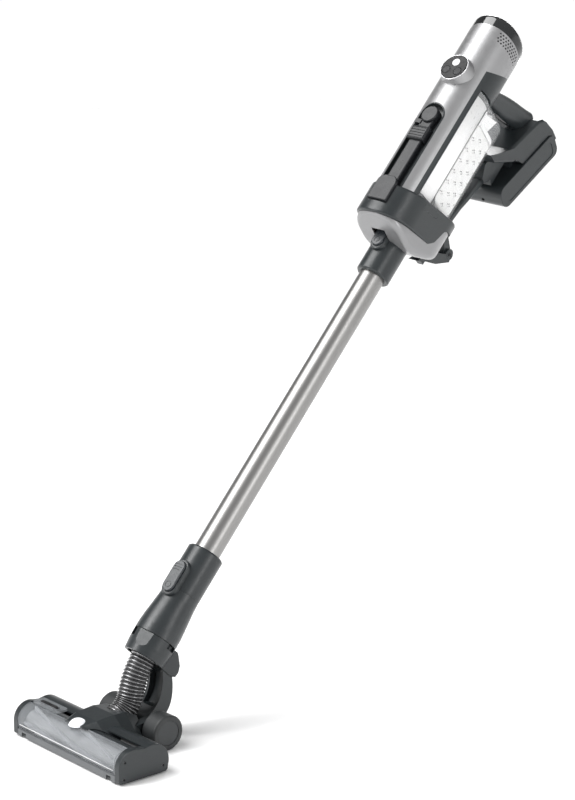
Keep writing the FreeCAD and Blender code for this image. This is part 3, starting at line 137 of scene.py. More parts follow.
def plastic(name, colour, rough, grain=0.00002, grain_scale=1400.0, coat=0.0, metallic=0.0,
            spread=0.12, level=0.5):
    """Moulded plastic or paint: a fine eroded grain, faint mottling of colour and gloss."""
    mat, tree, shader = new_material(name)
    here = coords(tree)
    mottle = noise(tree, here, 45.0, 4.0)
    low = tuple(c * (1.0 - spread) for c in colour)
    high = tuple(min(1.0, c * (1.0 + spread)) for c in colour)
    tree.links.new(mix_colour(tree, mottle, low, high), shader.inputs["Base Color"])
    fine = noise(tree, here, grain_scale, 2.0)
    shine = noise(tree, here, 160.0, 3.0)
    tree.links.new(remap(tree, shine, rough * 0.88, rough * 1.12), shader.inputs["Roughness"])
    shader.inputs["Metallic"].default_value = metallic
    shader.inputs["IOR"].default_value = PLASTIC_IOR
    shader.inputs["Specular IOR Level"].default_value = level
    shader.inputs["Coat Weight"].default_value = coat
    shader.inputs["Coat Roughness"].default_value = 0.08
    bump(tree, shader, fine, 0.35, grain)
    return mat


def metal(name, colour, rough, streaks=None):
    """Metal with fine lines drawn along the wand or along x, or with a fine even grain."""
    mat, tree, shader = new_material(name)
    if streaks == "wand":
        here = coords(tree, (1500.0, 1500.0, 14.0), COUNTER_LEAN)
    elif streaks == "x":
        here = coords(tree, (20.0, 1500.0, 1500.0))
    else:
        here = coords(tree, (900.0, 900.0, 900.0))
    lines = noise(tree, here, 1.0, 3.0)
    shader.inputs["Metallic"].default_value = 1.0
    low = tuple(c * 0.93 for c in colour)
    tree.links.new(mix_colour(tree, lines, low, colour), shader.inputs["Base Color"])
    tree.links.new(remap(tree, lines, rough, rough + STREAK), shader.inputs["Roughness"])
    bump(tree, shader, lines, 0.12, 0.00002)
    return mat


def clear(name, tint, rough, haze):
    """Clear moulded plastic: see-through with flow marks and faint dust."""
    mat, tree, shader = new_material(name)
    here = coords(tree)
    flow = noise(tree, here, 60.0, 3.0)
    dust = noise(tree, here, 1800.0, 2.0)
    shader.inputs["Base Color"].default_value = (*tint, 1.0)
    shader.inputs["IOR"].default_value = CLEAR_IOR
    tree.links.new(remap(tree, dust, rough, rough + 0.05), shader.inputs["Roughness"])
    tree.links.new(remap(tree, flow, haze, haze + 0.05), shader.inputs["Alpha"])
    bump(tree, shader, flow, 0.05, 0.0002)
    return mat


def fabric(name, colour, thread, rough=0.9):
    """Woven cloth: two crossed sets of threads."""
    mat, tree, shader = new_material(name)
    here = coords(tree, (1.0, 1.0, 1.0), COUNTER_LEAN)
    waves = []
    for axis in ("X", "Z"):
        wave = tree.nodes.new("ShaderNodeTexWave")
        wave.bands_direction = axis
        wave.inputs["Scale"].default_value = 0.314 / thread
        wave.inputs["Distortion"].default_value = 1.2
        wave.inputs["Detail"].default_value = 2.0
        tree.links.new(here, wave.inputs["Vector"])
        waves.append(wave.outputs["Fac"])
    both = tree.nodes.new("ShaderNodeMath")
    both.operation = "MULTIPLY"
    tree.links.new(waves[0], both.inputs[0])
    tree.links.new(waves[1], both.inputs[1])
    low = tuple(c * 0.8 for c in colour)
    tree.links.new(mix_colour(tree, both.outputs[0], low, colour), shader.inputs["Base Color"])
    shader.inputs["Roughness"].default_value = rough
    shader.inputs["Sheen Weight"].default_value = 0.25
    bump(tree, shader, both.outputs[0], 0.4, 0.0001)
    return mat


# ---- the materials ----
slate = plastic("slate_plastic", (0.017, 0.021, 0.023), 0.34)
slate_light = plastic("latch_plastic", (0.024, 0.028, 0.032), 0.28)
black = plastic("black_plastic", (0.012, 0.012, 0.013), 0.42, level=0.22)
gloss = plastic("gloss_cap", (0.008, 0.009, 0.010), 0.07, grain=0.000004, coat=0.6)
silver = plastic("silver_paint", (0.33, 0.33, 0.335), 0.42, grain=0.0000012, metallic=0.8, coat=0.12,
                 spread=0.03)
bowl_grey = plastic("door_paint", (0.27, 0.27, 0.275), 0.34, grain=0.000002, metallic=0.5, spread=0.04)
tube_metal = metal("wand_metal", (0.30, 0.295, 0.29), 0.33, "wand")
steel = metal("steel", (0.58, 0.58, 0.59), 0.22, "x")
cast = metal("motor_metal", (0.45, 0.45, 0.46), 0.4)
window = clear("clear_plastic", (0.62, 0.65, 0.68), 0.03, 0.12)
bin_clear = clear("bin_plastic", (0.88, 0.89, 0.90), 0.03, 0.07)
lens = plastic("lens_white", (0.90, 0.92, 0.95), 0.15, coat=0.5, spread=0.02)
sill = plastic("sill_plastic", (0.10, 0.105, 0.11), 0.4)
rubber = plastic("tyre_rubber", (0.018, 0.020, 0.021), 0.52, grain=0.00005, grain_scale=700.0)
hub = plastic("hub_plastic", (0.020, 0.023, 0.025), 0.38)
white = plastic("white_plastic", (0.84, 0.84, 0.84), 0.35, spread=0.02)
keys = plastic("key_plastic", (0.016, 0.016, 0.018), 0.4, level=0.25)
core = plastic("core_plastic", (0.16, 0.165, 0.17), 0.4)
latch_black = plastic("latch_gloss", (0.012, 0.013, 0.015), 0.3, level=0.3)
# The hose in two copies of its plastic: a bright metallic crest as painted highlight on the ribs, and a
# near-black groove as painted shade between them.
rib_crest_lit = plastic("hose_skin", (0.22, 0.22, 0.225), 0.27, grain=0.000004, metallic=0.8, coat=0.3,
                    spread=0.06)
rib_gap_shade = plastic("hose_rib_gap_shade", (0.010, 0.010, 0.011), 0.45)
# Painted shade for the dark insides of small holes.
hole_shade_paint = plastic("hole_shade_paint", (0.012, 0.012, 0.013), 0.6)
lining_white = plastic("lining_white", (0.88, 0.88, 0.88), 0.3, spread=0.02)
felt = fabric("felt", (0.03, 0.03, 0.032), 0.0009)
media = fabric("filter_media", (0.62, 0.62, 0.60), 0.0012)
bristle_mat = fabric("bristle", (0.40, 0.41, 0.43), 0.0005, 0.6)
pod_white = fabric("pod_fabric", (0.93, 0.93, 0.92), 0.0005)

LOOKS = {
    "slate_plastic": slate, "latch_plastic": slate_light, "black_plastic": black, "gloss_cap": gloss,
    "silver_paint": silver, "wand_metal": tube_metal, "clear_plastic": window, "lens_white": lens,
    "sill_plastic": sill, "felt": felt, "tyre_rubber": rubber, "roller_plastic": hub,
    "bristle": bristle_mat, "core_plastic": core, "hose_skin": slate_light, "steel": steel,
    "motor_metal": cast, "pod_fabric": pod_white, "white_plastic": white, "key_plastic": keys,
    "fan_plastic": black, "filter_media": media,
}
# suction_motor and motor_filter take dark looks in place of their own metal and white filter media: painted
# shade behind the exhaust holes.
OWN_LOOK = {
    "clear_bin": bin_clear, "door_shell": bowl_grey, "suction_motor": black, "motor_filter": felt,
    "door_latch": latch_black,
}

for part in frame["record"]["subparts"]:
    shown = nodes[part["node"]]
    look = OWN_LOOK.get(part["node"], LOOKS[part["material_slot"]])
    if not shown.material_slots:
        shown.data.materials.append(look)
    for place in shown.material_slots:
        place.material = look


# ---- softened edges on the moulded parts ----
SOFT = {
    "top_cover": 0.0012, "right_end_cap": 0.0008, "left_end_cap": 0.0008, "front_sill": 0.0004,
    "yoke_arm": 0.001, "neck_shroud": 0.0008, "neck_collar": 0.0006, "inlet_sleeve": 0.0006,
    "front_ring": 0.0006, "door_latch": 0.0006, "motor_housing": 0.0004, "rear_sleeve": 0.0003,
    "top_cap": 0.0004, "body_frame": 0.0004, "lower_spine": 0.001, "handle": 0.0006,
    "battery_cradle": 0.0012, "battery_case": 0.0008, "clear_bin": 0.0006, "door_shell": 0.0005,
    "control_panel": 0.0004, "latch_frame": 0.0005, "left_wheel_hub": 0.0005,
    "right_wheel_hub": 0.0005, "battery_latch": 0.0006, "lower_housing": 0.0004,
    "window_latch": 0.0003,
}
SOFT_FROM_ANGLE = math.radians(32.0)

for name, width in SOFT.items():
    soften = nodes[name].modifiers.new("soft_edges", "BEVEL")
    soften.width = width
    soften.segments = 2
    soften.limit_method = "ANGLE"
    soften.angle_limit = SOFT_FROM_ANGLE
    soften.harden_normals = False


# ---- mesh helpers ----
def piece(name, bm, look, body, smooth=True):
    """Makes a named object of a mesh; one without a body is given its motion by the caller."""
    mesh = bpy.data.meshes.new(name)
    bm.to_mesh(mesh)
    bm.free()
    if smooth:
        for poly in mesh.polygons:
            poly.use_smooth = True
    obj = bpy.data.objects.new(name, mesh)
    bpy.context.collection.objects.link(obj)
    mesh.materials.append(look)
    if body:
        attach(obj, body)
    return obj


def circle(centre, side, up, radius, count):
    """Points round a centre, in the plane of two directions."""
    turns = [2 * math.pi * j / count for j in range(count)]
    return [centre + side * (radius * math.cos(t)) + up * (radius * math.sin(t)) for t in turns]


def sweep_rings(bm, rings):
    """Joins rings of points, each a list of Vectors of one length, into a skin."""
    made = [[bm.verts.new(p) for p in ring] for ring in rings]
    count = len(made[0])
    for a, b in zip(made, made[1:]):
        for k in range(count):
            bm.faces.new((a[k], a[(k + 1) % count], b[(k + 1) % count], b[k]))
    return made


def close_ends(bm, made):
    """Caps the first and last ring of a skin."""
    bm.faces.new(list(reversed(made[0])))
    bm.faces.new(made[-1])
    bmesh.ops.recalc_face_normals(bm, faces=bm.faces)


def unit_point(x, s, q):
    return UNIT @ Vector((x, s, q))


def unit_direction(x, s, q):
    return UNIT.to_3x3() @ Vector((x, s, q))


# ---- the ribbed hose ----
# Its upper half rides the yoke; its lower half, with no body, is a fixed curved length between the floor
# head and the yoke.
HOSE_R = 0.0185
HOSE_SIDES = 64
HOSE_STEP = 0.00035
RIB_PITCH = 0.0048
RIB_HALF_DEPTH = 0.0010
RIB_SQUARENESS = 0.7
CREST_FROM = -0.25
SWIVEL_Q = 0.179
HOSE_TOP_Q = SWIVEL_Q + 0.008
HOSE_BEND_Q = 0.128
COVER_BEND = Vector((0, 0.0445, 0.047))
DUCT_END = Vector((0, 0.010, 0.031))
BEND_SHARE = 0.45
STRAIGHT_SAMPLES = 12
BEND_SAMPLES = 24


def arc_route():
    """Centre line of the hose, sampled, from the swivel down into the duct."""
    corners = [WAND @ Vector((0, 0, HOSE_TOP_Q)), WAND @ Vector((0, 0, HOSE_BEND_Q)), COVER_BEND, DUCT_END]
    points = []
    last = corners[0]
    for before, corner, after in zip(corners, corners[1:], corners[2:]):
        a = (before - corner).normalized()
        b = (after - corner).normalized()
        half = (math.pi - a.angle(b)) / 2
        cut = BEND_SHARE * min((before - corner).length, (after - corner).length)
        radius = cut / math.tan(half)
        bend_start = corner + a * cut
        bend_end = corner + b * cut
        centre = corner + (a + b).normalized() * (radius / math.cos(half))
        points += [last.lerp(bend_start, k / STRAIGHT_SAMPLES) for k in range(STRAIGHT_SAMPLES)]
        u = bend_start - centre
        v = bend_end - centre
        swing = u.angle(v)
        for k in range(BEND_SAMPLES):
            f = k / BEND_SAMPLES
            start_share = math.sin((1 - f) * swing) / math.sin(swing)
            end_share = math.sin(f * swing) / math.sin(swing)
            points.append(centre + u * start_share + v * end_share)
        last = bend_end
    points += [last.lerp(corners[-1], k / STRAIGHT_SAMPLES) for k in range(STRAIGHT_SAMPLES + 1)]
    return points


def resample(points, step):
    """The same line in points that stand one step apart."""
    out = [points[0]]
    carry = 0.0
    for a, b in zip(points, points[1:]):
        run = (b - a).length
        place = step - carry
        while place <= run:
            out.append(a.lerp(b, place / run))
            place += step
        carry = (carry + run) % step
    return out


def hose_piece(name, path, low, high):
    """A length of hose between two points of the path, with a lit metallic copy of its plastic on the ribs
    as painted highlight and painted shade between them.
    """
    bm = bmesh.new()
    rings = []
    crest = []
    for k in range(low, high + 1):
        ahead = (path[min(k + 1, len(path) - 1)] - path[max(k - 1, 0)]).normalized()
        up = ahead.cross(ACROSS).normalized()
        wave = math.cos(2 * math.pi * k * HOSE_STEP / RIB_PITCH)
        radius = HOSE_R - RIB_HALF_DEPTH + RIB_HALF_DEPTH * math.copysign(abs(wave) ** RIB_SQUARENESS, wave)
        crest.append(wave > CREST_FROM)
        rings.append(circle(path[k], ACROSS, up, radius, HOSE_SIDES))
    sweep_rings(bm, rings)
    # Groove faces take the painted shade, crest faces the lit copy.
    for k, face in enumerate(bm.faces):
        face.material_index = 0 if crest[k // HOSE_SIDES] else 1
    obj = piece(name, bm, rib_crest_lit, None)
    obj.data.materials.append(rib_gap_shade)
    return obj


path = resample(arc_route(), HOSE_STEP)
middle = len(path) // 2
upper_hose = hose_piece("hose_upper", path, 0, middle)
lower_hose = hose_piece("hose_lower", path, middle, len(path) - 1)
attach(upper_hose, "yoke")
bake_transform(lower_hose)
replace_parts(upper_hose, "suction_hose")


# ---- fine lines and small raised detail ----
def line_piece(name, points, radius, look, body, closed=False, sides=8):
    """A thin round bead along a run of points."""
    bm = bmesh.new()
    count = len(points)
    rings = []
    for k, p in enumerate(points):
        before = points[(k - 1) % count] if closed else points[max(k - 1, 0)]
        after = points[(k + 1) % count] if closed else points[min(k + 1, count - 1)]
        ahead = (after - before).normalized()
        side = (side - ahead * side.dot(ahead)).normalized() if rings else ahead.orthogonal().normalized()
        rings.append(circle(p, side, ahead.cross(side), radius, sides))
    if closed:
        rings.append(rings[0])
    sweep_rings(bm, rings)
    bmesh.ops.remove_doubles(bm, verts=bm.verts, dist=1e-7)
    if not closed:
        bmesh.ops.holes_fill(bm, edges=[e for e in bm.edges if e.is_boundary])
    return piece(name, bm, look, body)


def unit_circle(x, s, q, radius, count):
    """A circle in the hand unit's frame that faces along s."""
    return [UNIT @ p for p in circle(Vector((x, s, q)), ACROSS, ALONG, radius, count)]


EAR_X = 0.0086
EAR_BEAD = 0.00045
EAR_SAMPLES = 40
EAR_ARCS = ((0.0066, 70, 380), (0.0042, -20, 280))
HINGE_S = 0.118
HINGE_Q = 0.912


def ear_rings(side, tag):
    """Grooved rings on one ear of the door hinge."""
    for number, (radius, start, stop) in enumerate(EAR_ARCS):
        points = []
        for k in range(EAR_SAMPLES + 1):
            t = math.radians(start + (stop - start) * k / EAR_SAMPLES)
            s = HINGE_S + radius * math.cos(t)
            points.append(unit_point(side * EAR_X, s, HINGE_Q + radius * math.sin(t)))
        line_piece(f"{tag}_ear_ring_{number}", points, EAR_BEAD, slate_light, "front_door")


FIELD_HALF = 0.0048
FIELD_ENDS = ((-0.003, -90, 90), (-0.032, 90, 270))
FIELD_S = -0.017
FIELD_Q = 0.9035
FIELD_SLOPE = 0.22
FIELD_BEAD = 0.00028
FIELD_SAMPLES = 12
FIELD_SINK = 0.00005
RING_X = 0.0474
RING_TAPER = 0.0137


def ring_field(side, tag):
    """Raised outline of a long grip field on one flank of the ring."""
    outline = []
    for centre, start, stop in FIELD_ENDS:
        for k in range(FIELD_SAMPLES + 1):
            t = math.radians(start + (stop - start) * k / FIELD_SAMPLES)
            s = centre + FIELD_HALF * math.cos(t)
            q = FIELD_Q + FIELD_SLOPE * (centre - FIELD_S) + FIELD_HALF * math.sin(t)
            x = RING_X - FIELD_SINK - RING_TAPER * max(0.0, s - CYLINDER_S)
            outline.append(unit_point(side * x, s, q))
    line_piece(f"{tag}_ring_field", outline, FIELD_BEAD, slate_light, "main_body",
               closed=True)


PANEL_S = -0.0846
PANEL_Q = 1.107
PANEL_RIM_R = 0.0218
PANEL_BEAD = 0.0008
KEY_X = 0.010
KEY_S = -0.0866
KEY_Q = 1.100
KEY_RING_R = 0.0052
KEY_BEAD = 0.0002


def panel_rings():
    """Bright rim of the control panel and thin rings that mark the two function buttons."""
    rim = unit_circle(0.0, PANEL_S, PANEL_Q, PANEL_RIM_R, 72)
    line_piece("panel_rim", rim, PANEL_BEAD, steel, "main_body", closed=True, sides=12)
    for number, (x, key) in enumerate(((-KEY_X, "left_key"), (KEY_X, "right_key"))):
        ring = unit_circle(x, KEY_S, KEY_Q, KEY_RING_R, 40)
        line_piece(f"button_ring_{number}", ring, KEY_BEAD, slate_light, key, closed=True)


BRUSH_AXIS = Vector((0.0, -0.036, 0.0205))
WINDOW_BEAD_R = 0.0236
WINDOW_BEAD = 0.00045
BEAD_END_X = 0.108


def window_highlight_and_dark_lines():
    """A white bead as painted highlight and a black bead along the lower edge of the window."""
    kinds = ((186.0, white, "white_plastic"), (197.0, black, "black_plastic"))
    for number, (angle, look, slot_name) in enumerate(kinds):
        t = math.radians(angle)
        spot = BRUSH_AXIS + Vector((0, math.cos(t), math.sin(t))) * WINDOW_BEAD_R
        run = [Vector((x, spot.y, spot.z)) for x in (-BEAD_END_X, -0.05, 0.0, 0.05, BEAD_END_X)]
        line_piece(f"window_lit_and_dark_line_{number}", run, WINDOW_BEAD, look, "floor_head")


for side, tag in SIDES:
    ear_rings(side, tag)
for side, tag in SIDES:
    ring_field(side, tag)
panel_rings()
window_highlight_and_dark_lines()


# ---- bristles ----
BRISTLE_ROWS = 4
TUFTS_IN_ROW = 150
HAIRS_IN_TUFT = 9
ROW_TWIST = 150.0
ROLL_START_X = -0.104
ROLL_LENGTH = 0.196
ROOT_R = 0.0128
TIP_R = 0.0201
HAIR_HALF = 0.00022
HAIR_TIP_SHARE = 0.6
ROOT_SCATTER = 0.16
TIP_SCATTER = 0.10
ROOT_SCATTER_X = 0.0013
TIP_SCATTER_X = 0.0012


def random_draws():
    """Fixed numbers between -0.5 and 0.5."""
    modulus = 2147483648
    seed = 7
    while True:
        seed = (seed * 1103515245 + 12345) % modulus
        yield seed / modulus - 0.5


def hair(bm, low, high):
    """One bristle: a slim four-sided spike."""
    out = (high - low).normalized()
    side = out.cross(ACROSS).normalized() * HAIR_HALF
    along = ACROSS * HAIR_HALF
    root = [bm.verts.new(low + d) for d in (side, along, -side, -along)]
    tips = [bm.verts.new(high + d * HAIR_TIP_SHARE) for d in (side, along, -side, -along)]
    for m in range(4):
        bm.faces.new((root[m], root[(m + 1) % 4], tips[(m + 1) % 4], tips[m]))
    bm.faces.new(tips)


def bristle_roll():
    """Rows of bristles that wind round the brush core."""
    bm = bmesh.new()
    draws = random_draws()
    for row in range(BRISTLE_ROWS):
        for k in range(TUFTS_IN_ROW):
            f = (k + 0.5) / TUFTS_IN_ROW
            base_angle = math.radians(90.0 * row + ROW_TWIST * f)
            for _ in range(HAIRS_IN_TUFT):
                a = next(draws)
                b = next(draws)
                t = base_angle + ROOT_SCATTER * a
                tip_t = t + TIP_SCATTER * b
                x = ROLL_START_X + ROLL_LENGTH * f + ROOT_SCATTER_X * b
                low = Vector((x, ROOT_R * math.cos(t), ROOT_R * math.sin(t)))
                high = Vector((x + TIP_SCATTER_X * a, TIP_R * math.cos(tip_t), TIP_R * math.sin(tip_t)))
                hair(bm, BRUSH_AXIS + low, BRUSH_AXIS + high)
    return piece("bristle_tufts", bm, bristle_mat, "brush_roll")


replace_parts(bristle_roll(), "brush_bristles")


# ---- the dust pod's cloth, and the white lining of the bin's flanks ----
POD_FRONT_HALF = 0.0400
POD_BACK_R = 0.0348
POD_HOLLOW_R = 0.0419
POD_LOW_Q = 0.9250
POD_HIGH_Q = 1.0638
POD_LAYERS = 60
POD_END_ROUND = 0.004
POD_END_SHRINK = 0.0022
FOLD_DEPTH = 0.00022
POD_EASE = 0.004
POD_MEAN_R = 0.035
FLANK_SAMPLES = 16
BACK_SAMPLES = 40
HOLLOW_SAMPLES = 32


def pod_outline(shrink):
    """Plan of the pod: straight flanks, a round back and a hollow front that follows the cylinder."""
    big = POD_FRONT_HALF - shrink
    small = POD_BACK_R - shrink
    tilt = math.asin((big - small) / (BIN_CENTRE_S - CYLINDER_S))
    front = POD_HOLLOW_R + shrink
    reach = math.sqrt(front * front - big * big)
    corner_x = big * math.cos(tilt) - reach * math.sin(tilt)
    corner_s = CYLINDER_S + big * math.sin(tilt) + reach * math.cos(tilt)
    end_x = small * math.cos(tilt)
    end_s = BIN_CENTRE_S + small * math.sin(tilt)
    points = []
    for k in range(FLANK_SAMPLES):
        f = k / FLANK_SAMPLES
        points.append((corner_x + (end_x - corner_x) * f, corner_s + (end_s - corner_s) * f))
    for k in range(BACK_SAMPLES):
        t = tilt + (math.pi - 2 * tilt) * k / BACK_SAMPLES
        points.append((small * math.cos(t), BIN_CENTRE_S + small * math.sin(t)))
    for k in range(FLANK_SAMPLES):
        f = 1 - k / FLANK_SAMPLES
        points.append((-corner_x - (end_x - corner_x) * f, corner_s + (end_s - corner_s) * f))
    start = math.atan2(corner_s - CYLINDER_S, -corner_x)
    stop = math.atan2(corner_s - CYLINDER_S, corner_x)
    for k in range(HOLLOW_SAMPLES):
        t = start + (stop - start) * k / HOLLOW_SAMPLES
        points.append((front * math.cos(t), CYLINDER_S + front * math.sin(t)))
    return points


def pod_skin():
    """Cloth skin, with soft ends and slight folds."""
    bm = bmesh.new()
    length = POD_HIGH_Q - POD_LOW_Q
    rings = []
    for k in range(POD_LAYERS + 1):
        f = k / POD_LAYERS
        q = POD_LOW_Q + length * f
        edge = min(f, 1 - f) * length
        shrink = POD_END_SHRINK * max(0.0, 1 - edge / POD_END_ROUND) ** 2
        ring = []
        for n, (x, s) in enumerate(pod_outline(shrink)):
            fold = FOLD_DEPTH * math.sin(0.9 * n + 5.0 * math.sin(2.3 * f)) * math.sin(math.pi * f)
            scale = 1 - fold / POD_MEAN_R - POD_EASE
            ring.append(unit_point(x * scale, BIN_CENTRE_S + (s - BIN_CENTRE_S) * scale, q))
        rings.append(ring)
    close_ends(bm, sweep_rings(bm, rings))
    return piece("pod_cloth", bm, pod_white, "main_body")


HOLE_ROWS = 13
HOLE_LOW_Q = 0.9325
HOLE_ROW_PITCH = 0.0098
HOLE_COLUMNS_EACH_WAY = 6
HOLE_TURN_PITCH = 24.0
HOLE_AIM_S = 0.012
HOLE_REACH = 0.07
HOLE_EDGE_LIFT = 0.00012
HOLE_MIDDLE_LIFT = 0.00016
HOLE_SIDES = 12
# One group of holes: offset across, offset up, radius.
HOLE_GROUP = (
    (-0.0034, -0.0008, 0.0011), (0.0, 0.0012, 0.0013), (0.0033, -0.0005, 0.0011), (0.0006, -0.0028, 0.0008),
)


def pod_hole_shade_dots(cloth):
    """Small round holes in the cloth, drawn as dark dots of painted shade, in staggered groups."""
    corners = [v.co for v in cloth.data.vertices]
    tree = BVHTree.FromPolygons(corners, [p.vertices for p in cloth.data.polygons])
    lift = unit_direction(0.0, 0.0, 1.0)
    bm = bmesh.new()
    for row in range(HOLE_ROWS):
        aim = unit_point(0.0, HOLE_AIM_S, HOLE_LOW_Q + HOLE_ROW_PITCH * row)
        for column in range(-HOLE_COLUMNS_EACH_WAY, HOLE_COLUMNS_EACH_WAY + 1):
            if (row + column) % 2:
                continue
            turn = math.radians(HOLE_TURN_PITCH * column + 90.0)
            out = unit_direction(math.cos(turn), math.sin(turn), 0.0)
            flank = unit_direction(-math.sin(turn), math.cos(turn), 0.0)
            for across, rise, size in HOLE_GROUP:
                start = aim + out * HOLE_REACH + flank * across + lift * rise
                spot, up, _, _ = tree.ray_cast(start, -out, HOLE_REACH)
                if spot is None:
                    continue
                side = up.orthogonal().normalized()
                dots = circle(spot + up * HOLE_EDGE_LIFT, side, up.cross(side), size, HOLE_SIDES)
                rim = [bm.verts.new(p) for p in dots]
                top = bm.verts.new(spot + up * HOLE_MIDDLE_LIFT)
                for j in range(HOLE_SIDES):
                    bm.faces.new((rim[j], rim[(j + 1) % HOLE_SIDES], top))
    piece("pod_hole_shade_dots", bm, hole_shade_paint, "main_body", smooth=False)


LINING_LOW_Q = 0.9120
LINING_HIGH_Q = 1.0880
LINING_OUTER_R = 0.0414
LINING_INNER_R = 0.0412
LINING_FROM = 65.8
LINING_TO = 111.0
LINING_SAMPLES = 24


def bin_lining(side, tag):
    """White layer behind the clear wall where it passes over the cylinder."""
    bm = bmesh.new()
    rings = []
    for q in (LINING_LOW_Q, LINING_HIGH_Q):
        outer = []
        inner = []
        for k in range(LINING_SAMPLES + 1):
            t = math.radians(LINING_FROM + (LINING_TO - LINING_FROM) * k / LINING_SAMPLES)
            for radius, row in ((LINING_OUTER_R, outer), (LINING_INNER_R, inner)):
                row.append(unit_point(side * radius * math.sin(t), CYLINDER_S - radius * math.cos(t), q))
        rings.append(outer + list(reversed(inner)))
    close_ends(bm, sweep_rings(bm, rings))
    piece(f"{tag}_bin_lining", bm, lining_white, "main_body")


cloth = pod_skin()
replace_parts(cloth, "dust_pod")
pod_hole_shade_dots(cloth)
for side, tag in SIDES:
    bin_lining(side, tag)


# ---- painted shade at the ends of the exhaust holes ----
CAP_SEAM_Q = 1.18800
CAP_SEAM_SLOPE = 0.1900
CAP_SEAM_R = 0.0432
VENT_R = 0.0424
VENT_ROWS = 4
VENTS_IN_ROW = 10
VENT_HOLE_R = 0.00136
VENT_FIRST_DROP = 0.0045
VENT_ROW_PITCH = 0.0042
VENT_FIRST_TURN = 40.0
VENT_TURN_PITCH = 6.8


def vent_hole_shade():
    """Dark discs of painted shade in the exhaust holes, in rows that follow the slanted seam of the top
    cap.
    """
    bm = bmesh.new()
    for side in (-1, 1):
        for row in range(VENT_ROWS):
            for k in range(VENTS_IN_ROW):
                t = math.radians(VENT_FIRST_TURN + VENT_TURN_PITCH * (k + 0.5 * (row % 2)))
                seam = CAP_SEAM_Q + CAP_SEAM_SLOPE * CAP_SEAM_R * math.cos(t)
                q = seam - VENT_FIRST_DROP - VENT_ROW_PITCH * row
                centre = Vector((side * VENT_R * math.sin(t), CYLINDER_S - VENT_R * math.cos(t), q))
                flank = Vector((side * math.cos(t), math.sin(t), 0.0))
                rim = [bm.verts.new(UNIT @ p) for p in circle(centre, flank, ALONG, VENT_HOLE_R, 12)]
                bm.faces.new(rim if side > 0 else list(reversed(rim)))
    bmesh.ops.recalc_face_normals(bm, faces=bm.faces)
    piece("vent_hole_shade", bm, hole_shade_paint, "main_body", smooth=False)


vent_hole_shade()


# ---- coil springs behind the two release buttons ----
COIL_TURNS = 3.5
COIL_SAMPLES = 110
COIL_R = 0.0032
WIRE_R = 0.00028


def coil_spring(name, node, body, outer_s, inner_s, q):
    """A wound wire spring from the button towards its seat, fixed in shape on the given body."""
    points = []
    for k in range(COIL_SAMPLES + 1):
        f = k / COIL_SAMPLES
        t = 2 * math.pi * COIL_TURNS * f
        s = outer_s + WIRE_R + (inner_s - outer_s - 2 * WIRE_R) * f
        points.append(unit_point(COIL_R * math.cos(t), s, q + COIL_R * math.sin(t)))
    spring = line_piece(name, points, WIRE_R, steel, body)
    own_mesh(spring)
    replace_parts(spring, node)


coil_spring("neck_coil", "neck_button_spring", "neck",
            outer_s=-0.0309, inner_s=-0.02705, q=0.26150)
coil_spring("inlet_coil", "inlet_button_spring", "front_door",
            outer_s=-0.0294, inner_s=-0.02645, q=0.84250)


# ---- stage: floor, light, camera ----
FLOOR_HALF = 14.0
AIM = Vector((0.0, 0.4, 0.45))


def white_floor():
    """A large sheet of white paper."""
    bm = bmesh.new()
    bmesh.ops.create_grid(bm, x_segments=2, y_segments=2, size=FLOOR_HALF)
    mesh = bpy.data.meshes.new("floor")
    bm.to_mesh(mesh)
    bm.free()
    floor = bpy.data.objects.new("floor", mesh)
    bpy.context.collection.objects.link(floor)
    mat, tree, shader = new_material("floor_paper")
    paper = noise(tree, coords(tree), 300.0, 3.0)
    shade = mix_colour(tree, paper, (0.94, 0.94, 0.94), (0.96, 0.96, 0.96))
    tree.links.new(shade, shader.inputs["Base Color"])
    shader.inputs["Roughness"].default_value = 0.85
    shader.inputs["Specular IOR Level"].default_value = 0.15
    mesh.materials.append(mat)
    return floor


floor = white_floor()


def light_object(data, direction):
    obj = bpy.data.objects.new(data.name, data)
    bpy.context.collection.objects.link(obj)
    obj.rotation_euler = direction.to_track_quat("-Z", "Y").to_euler()
    return obj


def area_light(name, where, width, height, power):
    data = bpy.data.lights.new(name, "AREA")
    data.shape = "RECTANGLE"
    data.size = width
    data.size_y = height
    data.energy = power
    light_object(data, AIM - Vector(where)).location = where


def soft_sun(name, direction, power, spread):
    data = bpy.data.lights.new(name, "SUN")
    data.energy = power
    data.angle = spread
    light_object(data, Vector(direction))


area_light("key", (-0.9, -2.3, 1.9), 0.5, 2.2, 46.0)
area_light("side", (2.7, 0.5, 1.3), 0.35, 2.2, 20.0)
area_light("back", (-1.5, 2.4, 1.6), 0.4, 2.0, 18.0)
soft_sun("sky_panel", (0.35, 0.45, -1.0), 2.6, math.radians(42.0))

BEHIND_OBJECT = (-0.7420, 0.6406, -0.1973)
# Brightness of the room from the camera's back, at 0, to straight behind the object, at 1.
ROOM_ENDS = (0.50, 1.0)
ROOM_STEPS = ((0.45, 0.52), (0.62, 0.14), (0.95, 0.14), (0.982, 1.0))
HORIZON_FROM = 0.16
HORIZON_TO = 0.32
ROOM_STRENGTH = 1.02


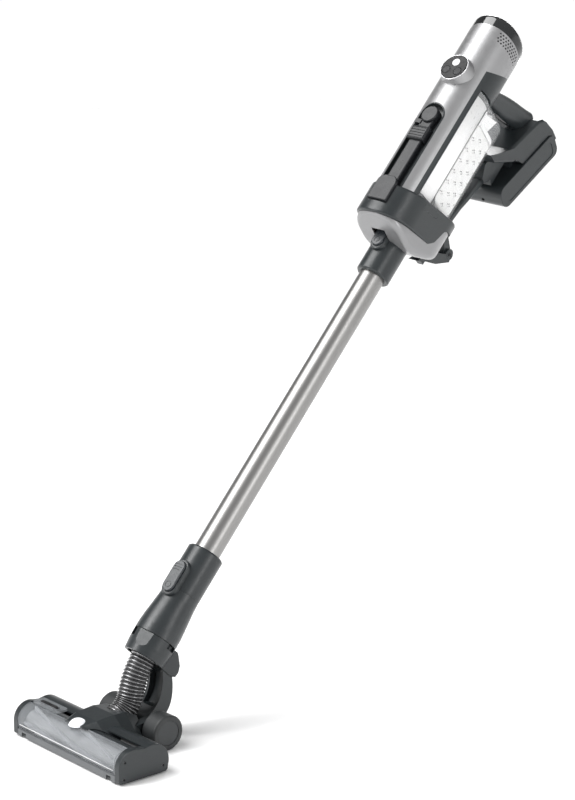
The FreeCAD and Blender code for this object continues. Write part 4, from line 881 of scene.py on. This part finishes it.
def studio_room():
    """A room that is white behind the object and dark round that, so metal shows dark edges."""
    world = bpy.data.worlds.new("studio")
    world.use_nodes = True
    room = world.node_tree
    direction = room.nodes.new("ShaderNodeTexCoord")
    facing = room.nodes.new("ShaderNodeVectorMath")
    facing.operation = "DOT_PRODUCT"
    facing.inputs[1].default_value = BEHIND_OBJECT
    room.links.new(direction.outputs["Generated"], facing.inputs[0])
    place = room.nodes.new("ShaderNodeMapRange")
    place.inputs["From Min"].default_value = -1.0
    place.inputs["From Max"].default_value = 1.0
    room.links.new(facing.outputs["Value"], place.inputs["Value"])
    ramp = room.nodes.new("ShaderNodeValToRGB")
    for end, level in zip(ramp.color_ramp.elements, ROOM_ENDS):
        end.color = (level, level, level, 1.0)
    for position, level in ROOM_STEPS:
        step = ramp.color_ramp.elements.new(position)
        step.color = (level, level, level, 1.0)
    room.links.new(place.outputs["Result"], ramp.inputs["Fac"])
    # Near the horizon, where a camera sees it, the room is white all round.
    split = room.nodes.new("ShaderNodeSeparateXYZ")
    room.links.new(direction.outputs["Generated"], split.inputs[0])
    height = room.nodes.new("ShaderNodeMapRange")
    height.interpolation_type = "SMOOTHSTEP"
    height.inputs["From Min"].default_value = HORIZON_FROM
    height.inputs["From Max"].default_value = HORIZON_TO
    room.links.new(split.outputs["Z"], height.inputs["Value"])
    horizon = room.nodes.new("ShaderNodeMix")
    horizon.data_type = "RGBA"
    horizon.inputs[6].default_value = (1.0, 1.0, 1.0, 1.0)
    room.links.new(height.outputs["Result"], horizon.inputs[0])
    room.links.new(ramp.outputs["Color"], horizon.inputs[7])
    background = room.nodes["Background"]
    room.links.new(horizon.outputs[2], background.inputs["Color"])
    background.inputs["Strength"].default_value = ROOM_STRENGTH
    bpy.context.scene.world = world
    bpy.context.scene.view_settings.view_transform = "Standard"


studio_room()

CAMERA_TURN = math.radians(49.19)
CAMERA_RISE = math.radians(11.38)
CAMERA_AT = (2.0277, -1.4218, 0.9732)
CAMERA_LENS = 87.44


def photo_camera():
    """The camera of the picture."""
    data = bpy.data.cameras.new("camera")
    data.sensor_fit = "VERTICAL"
    data.sensor_height = 36.0
    data.lens = CAMERA_LENS
    camera = bpy.data.objects.new("camera", data)
    bpy.context.collection.objects.link(camera)
    turn = Matrix.Rotation(CAMERA_TURN, 4, "Z")
    rise = Matrix.Rotation(UPRIGHT - CAMERA_RISE, 4, "X")
    camera.matrix_world = Matrix.Translation(CAMERA_AT) @ turn @ rise
    bpy.context.scene.camera = camera


photo_camera()
